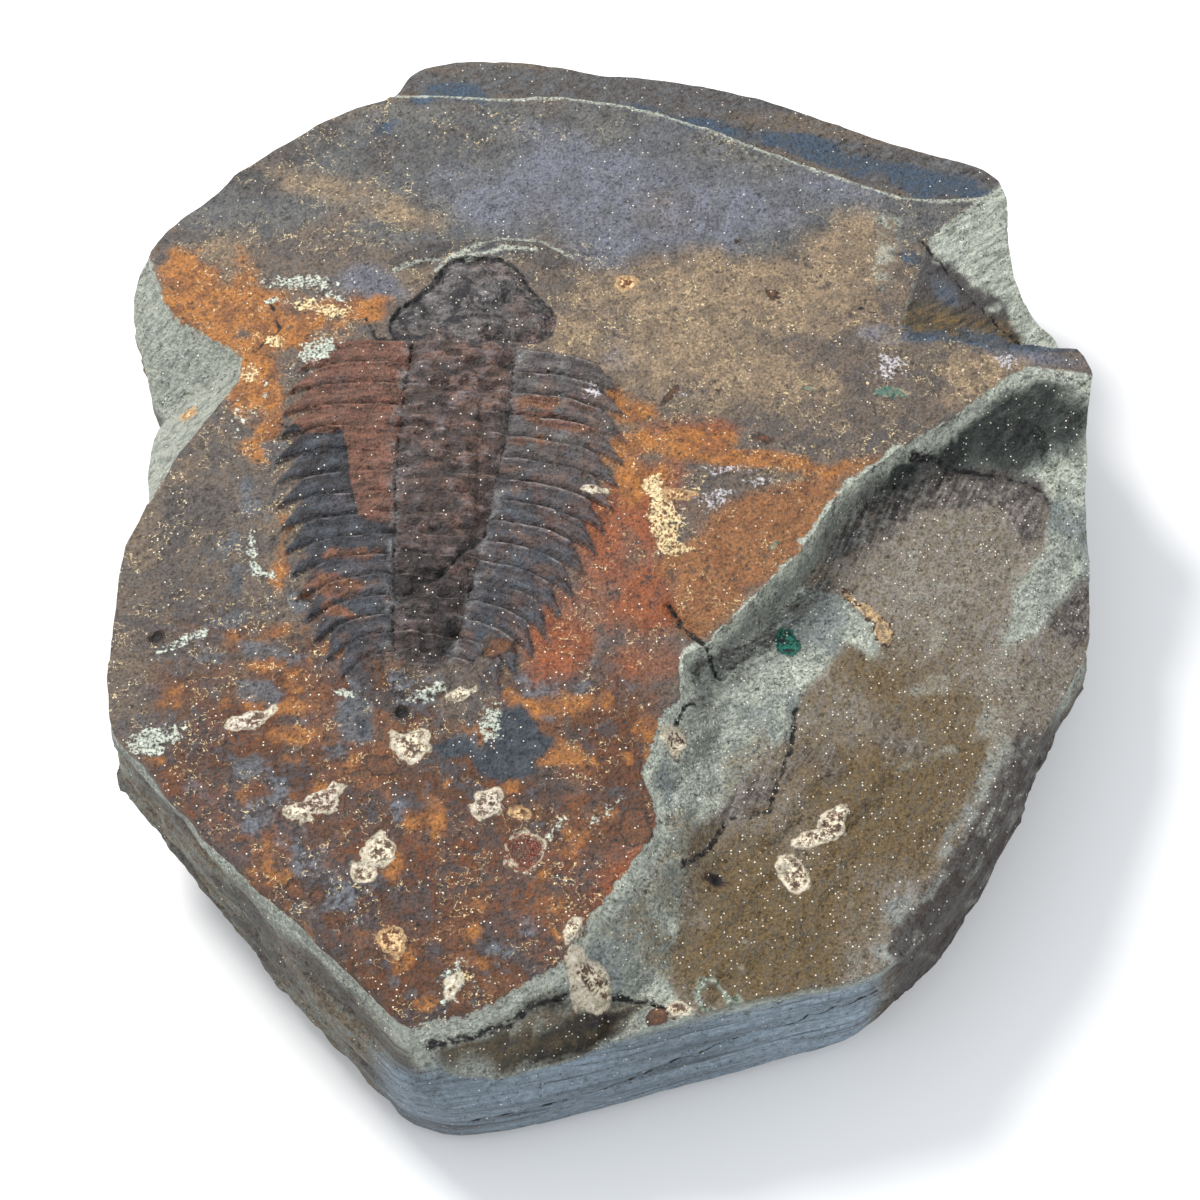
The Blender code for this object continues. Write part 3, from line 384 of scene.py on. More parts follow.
# Marks that stand out on the two faces: x, y, half length, half width, turn, height.
# Crusts and rings are raised a little, pits are sunk.
marks = {
    "creamCrust": [
        (-2.8, 1.2, 2.8, 1.2, 0, 0.4), (-57.0, -70.8, 2.4, 2.0, 0, 0.5), (-24.0, -70.6, 1.8, 1.4, 0, 0.3),
        (-41.6, -79.2, 3.0, 3.8, -30, 0.5), (-45.0, -83.6, 2.4, 2.2, 0, 0.3),
        (-37.0, -57.4, 3.2, 4.0, 10, 0.35), (-35.0, -54.6, 2.0, 1.8, 0, 0.3), (-3.3, -102.2, 3.4, 4.6, 25, 0.9),
        (-6.2, -95.3, 1.6, 2.4, -15, 0.6), (35.1, -79.4, 2.7, 4.2, 15, 0.4), (42.6, -68.6, 2.8, 4.8, -12, 0.5),
        (38.4, -71.6, 4.4, 1.8, 25, 0.4), (-28.4, -46.0, 3.0, 1.2, 15, 0.2), (-27.6, -105.6, 1.4, 3.2, -25, 0.3),
        (12.8, -54.0, 2.6, 3.4, -30, 0.4), (13.6, -106.0, 2.6, 1.4, -20, 0.4),
    ],
    "paleRing": [
        (-67.6, -51.6, 5.6, 1.8, 22, 0.35), (-22.4, -69.3, 3.7, 2.7, 60, 0.4), (-53.4, -69.0, 4.6, 2.8, 20, 0.4),
    ],
    "tanRing": [
        (-39.3, -97.1, 2.6, 2.8, 0, 0.35), (-16.2, -71.2, 2.1, 1.8, 0, 0.3), (4.2, 53.4, 2.4, 2.0, 0, 0.25),
        (14.0, -0.2, 3.4, 1.7, 0, 0.3), (-86.0, 24.0, 2.0, 1.6, 0, 0.3),
    ],
    "brownSpot": [
        (-18.1, -68.9, 1.8, 2.0, 0, 0.2), (-57.0, -87.0, 2.1, 2.5, 0, -0.3), (-53.0, -87.9, 1.5, 1.7, 0, -0.2),
        (-21.2, -36.2, 2.8, 2.4, 20, 0.3), (34.6, 51.0, 1.5, 1.3, 0, 0.2), (4.9, -74.6, 3.6, 4.2, 0, -0.2),
        (31.6, 14.1, 2.0, 1.1, -20, 0.1), (12.8, 24.8, 3.0, 0.9, 50, 0.1), (9.4, -107.7, 2.2, 1.9, 0, 0.3),
        (-58.5, -24.0, 1.8, 1.0, 0, 0.1), (-42.4, -61.2, 3.8, 2.2, -8, 0.2),
    ],
    "glossyHollow": [(-14.8, -78.7, 3.9, 4.2, 0, -0.6)],
    "wormTube": [
        (48.4, -18.0, 2.3, 0.9, -42, 0.5), (51.6, -21.2, 2.6, 1.5, -45, 0.6), (54.6, -25.4, 2.0, 3.2, 20, 0.7),
    ],
    "darkPit": [
        (-38.9, -49.5, 2.0, 1.8, 0, -1.1), (-86.7, -33.1, 2.4, 1.5, 30, -0.9), (20.5, -80.1, 2.0, 1.5, -20, -0.9),
        (27.5, 64.9, 0.8, 0.8, 0, -0.5), (23.0, 26.0, 0.7, 0.4, 0, -0.3), (14.6, 13.4, 0.7, 0.5, 0, -0.3),
    ],
    "green": [(35.3, -28.7, 2.6, 3.6, 10, 0.3)],
    "faintGreen": [(57.6, 25.5, 4.2, 1.3, 0, 0.1), (41.5, 26.5, 1.6, 0.6, 0, 0.1), (33.0, -12.0, 0.8, 1.6, -20, 0.1)],
}
# Thin rings with nothing inside them: x, y, half length, half width, turn
ringsOnly = {
    "green": (19.4, -104.2, 2.6, 3.2, 15),
    "narrow": (47.2, 37.5, 1.6, 2.6, 10),
    "small": (52.8, -55.4, 2.0, 2.0, 0),
}


def markDistance(x, y, rows):
    # signed distance to the nearest mark of a kind, negative inside it
    best = np.full(x.shape, 30.0)
    for cx, cy, a, b, turn in [row[:5] for row in rows]:
        c, s = math.cos(math.radians(turn)), math.sin(math.radians(turn))
        dx, dy = x - cx, y - cy
        u, v = (dx * c + dy * s) / a, (dy * c - dx * s) / b
        wobble = 0.45 * crumble(x, y, 0.8 * min(a, b) + 0.6, int(7 * abs(cx)) % 90)
        r = np.hypot(u, v) * (1.0 + wobble)
        best = np.minimum(best, (r - 1.0) * math.sqrt(a * b))
    return best


def markRelief(x, y):
    z = np.zeros_like(x)
    for kind, rows in marks.items():
        for row in rows:
            near = (np.abs(x - row[0]) < 9) & (np.abs(y - row[1]) < 9)
            if not near.any():
                continue
            d = markDistance(x[near], y[near], [row])
            if kind in ("creamCrust", "paleRing", "wormTube"):
                bump = row[5] * softStep(-d / 0.7) * (0.75 + 0.5 * crumble(x[near], y[near], 1.6, 33))
            elif kind == "tanRing":
                bump = row[5] * np.exp(-((d + 0.35) / 0.45) ** 2)
            else:
                bump = row[5] * softStep(-d / 1.2)
            z[near] += bump
    for row in ringsOnly.values():
        z += 0.2 * np.exp(-((markDistance(x, y, [row]) + 0.3) / 0.4) ** 2)
    return z


# Cracks cut into the faces: points, width, depth
cracks = {
    "axis": (fossil["axisCrack"], 0.45, 0.8),
    "bight": (slab["bightCrack"], 0.5, 0.9),
    "belowFlake": ([(12.0, -25.6), (14.6, -30.6), (19.6, -35.0), (22.0, -38.0)], 0.9, 1.0),
    "tip": ([(12.5, -52.0), (16.0, -45.6), (18.4, -47.4)], 0.4, 0.6),
    "ochreLeft": ([(-69.6, 47.8), (-67.5, 41.3), (-72.9, 34.9)], 0.4, 0.3),
    "yellowScar": ([(-49.6, 43.9), (-47.4, 38.7), (-42.2, 38.2)], 0.4, 0.4),
    "besideBight": ([(52.0, 47.5), (56.5, 45.0)], 0.4, 0.4),
    "frontLip": (
        [
            (-33.5, -114.8), (-28.0, -113.8), (-20.0, -111.4), (-13.0, -107.6),
            (-6.8, -105.0), (3.0, -103.2), (10.6, -105.5),
        ],
        0.7, 1.1,
    ),
    # the arc at the foot of the ledge wall: a shallow groove that the material darkens with painted shadow
    "scoop": (
        [
            (61.4, 12.2), (64.4, 13.2), (67.4, 13.9), (72.2, 13.2),
            (77.4, 11.5), (83.6, 10.5), (88.1, 8.3), (89.7, 4.6),
        ],
        0.8, 0.9,
    ),
    "lowerLayer": (
        [
            (36.4, -43.5), (35.5, -51.9), (32.2, -60.1), (30.9, -65.3),
            (22.7, -67.6), (18.5, -75.0), (13.4, -79.6),
        ],
        0.8, 0.8,
    ),
}


def backPlace(x, y):
    # distance behind the step along the back edge
    far = slab["far"]
    d, _ = sideOf(x, y, slab["backStep"], [(far, 77.0), (far, far), (-far, far), (-far, 106.0)])
    return d


def upperBed(x, y):
    z = slab["upperBed"] + 0.5 * waves(x, y, 46.0, 3) + 0.25 * waves(x, y, 17.0, 5)
    back = backPlace(x, y) + 0.5 * crumble(x, y, 5.0, 8)
    z -= slab["backStepDrop"] * softStep(back / 1.3) + slab["backFall"] * np.maximum(back, 0.0)
    far = slab["far"]
    flake, _ = sideOf(x, y, slab["flakeEdge"], [(20.0, 30.0), (far, 30.0), (far, -33.5)])
    flake = flake + 0.35 * crumble(x, y, 2.5, 9)
    z += slab["flakeThickness"] * softStep(flake / 0.6) * softStep((34.0 - flake) / 34.0)
    body = thoraxRelief(x, y) + headRelief(x, y)
    covered, belowHead = softStep(coverDepth(x, y) / 0.6), softStep((y - 46.0) / -30.0)
    z += body + fossil["coverThickness"] * covered * belowHead * onFossil(x, y)
    # thin flakes that have come off in patches, and a fine grain along the bedding
    calm = 1.0 - 0.75 * onFossil(x, y)
    z += calm * 0.16 * layered(1.7 * crumble(x, y, 15.0, 21) + 0.5 * crumble(x, y, 4.0, 24))
    z += calm * (0.10 * crumble(x, y, 3.2, 27) + 0.10 * streaks(x, y, 32.0, 14.0, 1.6, 30))
    return z


def onFossil(x, y):
    # 1 on the animal, 0 on the stone around it
    _, i, t = bodyPlace(x, y)
    limit = tipLimit(i)
    thorax = softStep((limit - t) * 6.0) * softStep((i + 0.5) * 2.0) * softStep(17.0 - i)
    return np.maximum(thorax, softStep(depthIn(x, y, fossil["head"])))


def lowerBed(x, y):
    z = slab["lowerBed"] + 0.35 * waves(x, y, 30.0, 9)
    z -= slab["frontStepDrop"] * softStep((14.0 - x) / 30.0)
    z += slab["tipShelfRise"] * np.exp(-((x - 24.0) ** 2 + (y + 37.0) ** 2) / 144.0)
    far = slab["far"]
    roll, _ = sideOf(x, y, slab["lowerRoll"], [(60.0, -far), (far, -far), (far, 20.0)])
    z -= (0.42 + 0.43 * softStep((-40.0 - y) / 30.0)) * np.maximum(roll, 0.0)
    z += 0.28 * layered(1.5 * crumble(x, y, 17.0, 41) + 0.7 * streaks(x, y, 58.0, 30.0, 5.0, 44))
    return z + 0.14 * crumble(x, y, 3.0, 47) + 0.12 * streaks(x, y, 62.0, 12.0, 1.5, 50)


def plates(x, y):
    # little steps of broken stone between the two beds
    return layered(1.6 * crumble(x, y, 7.0, 81) + 0.8 * streaks(x, y, 48.0, 14.0, 3.0, 84), 0.12)


def fractureGrain(x, y):
    return plates(x, y) + 0.45 * crumble(x, y, 2.2, 87)


def ledgePlace(x, y):
    far = slab["far"]
    return sideOf(x, y, slab["upperEdge"], [(far, far), (-far, far), (-far, -far), (-60.0, -far)])


def bightPlace(x, y):
    # heights of the bight's dark face, its pale face and the short wall on its near side
    dark, pale = slab["bightDark"], slab["bightPale"]
    along = (x - dark["start"][0]) * dark["run"][0] + (y - dark["start"][1]) * dark["run"][1]
    darkFace = slab["upperBed"] + 0.3 - dark["fall"] * along
    dx, dy = x - pale["start"][0], y - pale["start"][1]
    paleFace = slab["upperBed"] - pale["fallEast"] * dx + pale["riseNorth"] * dy
    north, _ = sideOf(x, y, slab["bightSouth"], [(130.0, slab["far"]), (40.0, slab["far"])])
    nearSide = slab["upperBed"] + 0.4 - slab["bightWall"] * north
    return darkFace, paleFace, nearSide


def leftPlace(x, y):
    d, _ = sideOf(x, y, slab["leftBreak"], [(-slab["far"], -10.0), (-slab["far"], 75.0)])
    return d


def topHeight(x, y):
    ledge, extra = ledgePlace(x, y)
    ledge = ledge + 0.45 * crumble(x, y, 4.0, 91) * softStep(extra[..., 0] / 3.0 + 0.2)
    width, hollow = extra[..., 0], extra[..., 1]
    low, high = lowerBed(x, y), upperBed(x, y)
    left = leftPlace(x, y) + 0.5 * crumble(x, y, 4.0, 93)
    high = high - slab["leftBreakStep"] * softStep(left / 0.9) - slab["leftBreakSlope"] * np.maximum(left, 0.0)
    high += softStep(left / 2.0) * (0.4 * crumble(x, y, 6.0, 95) + 0.15 * crumble(x, y, 1.8, 96))
    darkFace, paleFace, nearSide = bightPlace(x, y)
    darkFace = darkFace + 0.25 * layered(1.5 * crumble(x, y, 9.0, 97))
    paleFace = paleFace + 0.5 * layered(2.0 * crumble(x, y, 7.0, 98)) + 0.2 * crumble(x, y, 2.0, 99)
    high = np.minimum(high, np.maximum(np.maximum(darkFace, paleFace), nearSide))
    fallen = np.clip(-ledge / np.maximum(width, 0.1), 0.0, 1.0)
    z = low + (high - low) * (1.0 - fallen) ** hollow
    z += fractureGrain(x, y) * softStep(-ledge / 1.5) * softStep((1.25 - fallen) / 0.4) * softStep(width / 6.0)
    z += markRelief(x, y)
    for line, width, depth in cracks.values():
        d, _ = lineDistance(x, y, line)
        d = d + 0.25 * waves(x, y, 1.8, 12)
        z -= depth * np.exp(-(d / width) ** 2)
    return z


# Points of the mesh. Spacing in millimetres: the fossil and the marks are the finest.
mesh = {
    "rim": 1.3,
    "fossil": 0.52,
    "marks": 0.62,
    "rest": 1.02,
    "ledge": 0.85,
    "ledgeRows": 9,
    "ledgeSpan": (-0.12, 1.06),  # first and last row, as shares of the break's width
    "ledgeWidest": 9.0,  # wider breaks are left to the even grid
    "ledgeMargin": 0.4,
    "rimMargin": 0.7,
    "gridHalf": (103.0, 121.0),
    # half width of the fossil's fine grid, at places from head to tail
    "finePlace": [-31, -20, -2, 2, 30, 60, 87],
    "fineHalf": [24, 24, 24, 36.5, 36.5, 30, 14],
    "wallRings": 34,
}


def roundedRim(spacing):
    # a smooth curve through the rim's rows, with small chips along it
    rows = np.array(slab["rim"], dtype=float)
    points = []
    count = len(rows)
    for k in range(count):
        a, b, c, d = rows[k - 1], rows[k], rows[(k + 1) % count], rows[(k + 2) % count]
        steps = max(1, round(math.hypot(*(c - b)[:2]) / spacing))
        for s in range(steps):
            t = s / steps
            curve = 0.5 * (
                2 * b + (c - a) * t + (2 * a - 5 * b + 4 * c - d) * t ** 2 + (3 * b - a - 3 * c + d) * t ** 3
            )
            straight = b + (c - b) * t
            points.append(0.6 * curve + 0.4 * straight)
    rim = np.array(points)
    along = np.roll(rim[:, :2], -1, axis=0) - np.roll(rim[:, :2], 1, axis=0)
    along /= np.hypot(along[:, 0], along[:, 1])[:, None]
    out = np.stack([along[:, 1], -along[:, 0]], axis=1)
    chips = 0.45 * crumble(rim[:, 0], rim[:, 1], 6.0, 51) * np.where(rim[:, 1] < -97.0, 0.3, 1.0)
    rim[:, :2] += out * np.minimum(chips, 0.25)[:, None]
    return rim


def staggered(spacing):
    # a grid of even triangles
    halfX, halfY = mesh["gridHalf"]
    rows = []
    for row, y in enumerate(np.arange(-halfY, halfY, spacing * 0.866)):
        x = np.arange(-halfX + (row % 2) * spacing / 2, halfX, spacing)
        rows.append(np.column_stack([x, np.full(len(x), y)]))
    return np.vstack(rows)


def evenly(line, spacing):
    rows = [np.array(row, dtype=float) for row in line]
    out = []
    for p, q in zip(rows, rows[1:]):
        steps = max(1, round(math.hypot(q[0] - p[0], q[1] - p[1]) / spacing))
        out += [p + (q - p) * k / steps for k in range(steps)]
    return np.array(out + [rows[-1]])


def nearFossil(x, y):
    u, v = toBody(x, y)
    place = mesh["finePlace"]
    return (v > place[0]) & (v < place[-1]) & (np.abs(u) < np.interp(v, place, mesh["fineHalf"]))


def nearMarks(x, y):
    rows = [row for kind in marks.values() for row in kind] + list(ringsOnly.values())
    close = np.zeros(x.shape, dtype=bool)
    for row in rows:
        close |= np.hypot(x - row[0], y - row[1]) < max(row[2], row[3]) + 1.2
    return close


def planPoints(rim):
    edge = evenly(slab["upperEdge"], mesh["ledge"])
    run = np.gradient(edge[:, :2], axis=0)
    run /= np.hypot(run[:, 0], run[:, 1])[:, None]
    side = np.stack([run[:, 1], -run[:, 0]], axis=1)
    steep = edge[:, 2] < mesh["ledgeWidest"]
    first, last = mesh["ledgeSpan"]
    rows = []
    for share in np.linspace(first, last, mesh["ledgeRows"]):
        rows.append((edge[:, :2] + side * (edge[:, 2] * share)[:, None])[steep])
    ledgeRows = np.vstack(rows)
    grids = []
    for name in ("fossil", "marks", "rest"):
        grid = staggered(mesh[name])
        x, y = grid[:, 0], grid[:, 1]
        body = nearFossil(x, y)
        spot = nearMarks(x, y) & ~body
        keep = {"fossil": body, "marks": spot, "rest": ~body & ~spot}[name]
        grids.append(grid[keep])
    fill = np.vstack(grids)
    ledge, extra = ledgePlace(fill[:, 0], fill[:, 1])
    width, margin = extra[:, 0], mesh["ledgeMargin"]
    inLedge = (width < mesh["ledgeWidest"]) & (ledge < -first * width + margin) & (ledge > -last * width - margin)
    everything = np.vstack([ledgeRows, fill[~inLedge]])
    clear = depthIn(everything[:, 0], everything[:, 1], rim[:, :2].tolist()) > mesh["rimMargin"]
    return everything[clear]


def buildTop(rim):
    count = len(rim)
    plan = planPoints(rim)
    coords = [Vector(p) for p in np.vstack([rim[:, :2], plan])]
    found = delaunay_2d_cdt(coords, [], [list(range(count))], 1, 1e-5)
    verts, faces, origins = found[0], found[2], found[3]
    first = {}
    for new, old in enumerate(origins):
        for index in old:
            first.setdefault(index, new)
    rimIds = [first[k] for k in range(count)]
    taken = set(rimIds)
    order = rimIds + [k for k in range(len(verts)) if k not in taken]
    newId = {old: new for new, old in enumerate(order)}
    xy = np.array([verts[k][:] for k in order])
    return xy, [[newId[k] for k in face] for face in faces]


# The sides: thin laminae, rough on the left and at the back, smooth along the front band
sides = {
    "laminaDepth": 0.55,
    "lumpDepth": 0.9,
    "bandTop": 27.0,
    "bandCrack": [(-24.0, 12.0), (0.0, 14.0), (20.0, 19.0), (34.0, 20.5), (46.0, 24.0)],
}


def lengthAlong(rim):
    return np.concatenate([[0.0], np.cumsum(np.hypot(*(np.diff(rim[:, :2], axis=0).T)))])


def bandCrackHeight(x):
    places, heights = zip(*sides["bandCrack"])
    return np.interp(x, places, heights)


def wallRings(rim, rimHeight):
    x, y, lean, leanZ, footZ, tuck = rim.T
    length = np.hypot(x, y)
    outX, outY = x / length, y / length
    leanZ = np.minimum(leanZ, rimHeight - 6.0)
    footZ = np.minimum(footZ, leanZ - 2.0)
    zero = np.zeros_like(x)
    knots = [
        (rimHeight, zero), (rimHeight * 0.6 + leanZ * 0.4, 0.5 * lean), (leanZ, lean), ((leanZ + footZ) / 2, lean),
        (footZ, 0.8 * lean - 0.4), (footZ * 0.4, -0.55 * tuck), (zero, -tuck),
    ]
    shares = [0.0, 0.10, 0.27, 0.50, 0.72, 0.88, 1.0]
    arc = lengthAlong(rim)
    band = softStep((-94.0 - y) / 6.0) * softStep((x + 44.0) / 8.0) * softStep((54.0 - x) / 6.0)
    rough = 1.0 - 0.85 * band
    rough *= np.where(x < -38.0, 1.25, 1.0)
    crackZ = bandCrackHeight(x)
    rings = []
    for share in np.linspace(0.0, 1.0, mesh["wallRings"] + 1)[1:]:
        k = min(int(np.searchsorted(shares, share, side="left")) - 1, len(knots) - 2)
        t = (share - shares[k]) / (shares[k + 1] - shares[k])
        z = knots[k][0] * (1 - t) + knots[k + 1][0] * t
        shift = knots[k][1] * (1 - t) + knots[k + 1][1] * t
        fade = softStep(share / 0.06) * softStep((1.0 - share) / 0.05)
        lumps = sides["lumpDepth"] * crumble(arc + 2.0 * z, z * 1.3, 16.0, 101)
        swell = 1.4 * waves(arc, z * 9.0, 15.0, 104) + 0.8 * waves(arc, z * 6.0, 6.0, 107)
        sheets = sides["laminaDepth"] * layered(swell)
        grain = 0.16 * waves(arc, z * 2.0, 1.8, 110) + 0.12 * waves(arc, z * 5.0, 3.4, 113)
        shift = shift + fade * (rough * (lumps + sheets - 0.2) + (0.4 + 0.6 * rough) * grain)
        onCrack = band * np.exp(-((z - crackZ) / 0.5) ** 2) * softStep((x + 26.0) / 4.0)
        shift = shift - 0.7 * onCrack
        rings.append(np.column_stack([x + outX * shift, y + outY * shift, z]))
    return rings, band


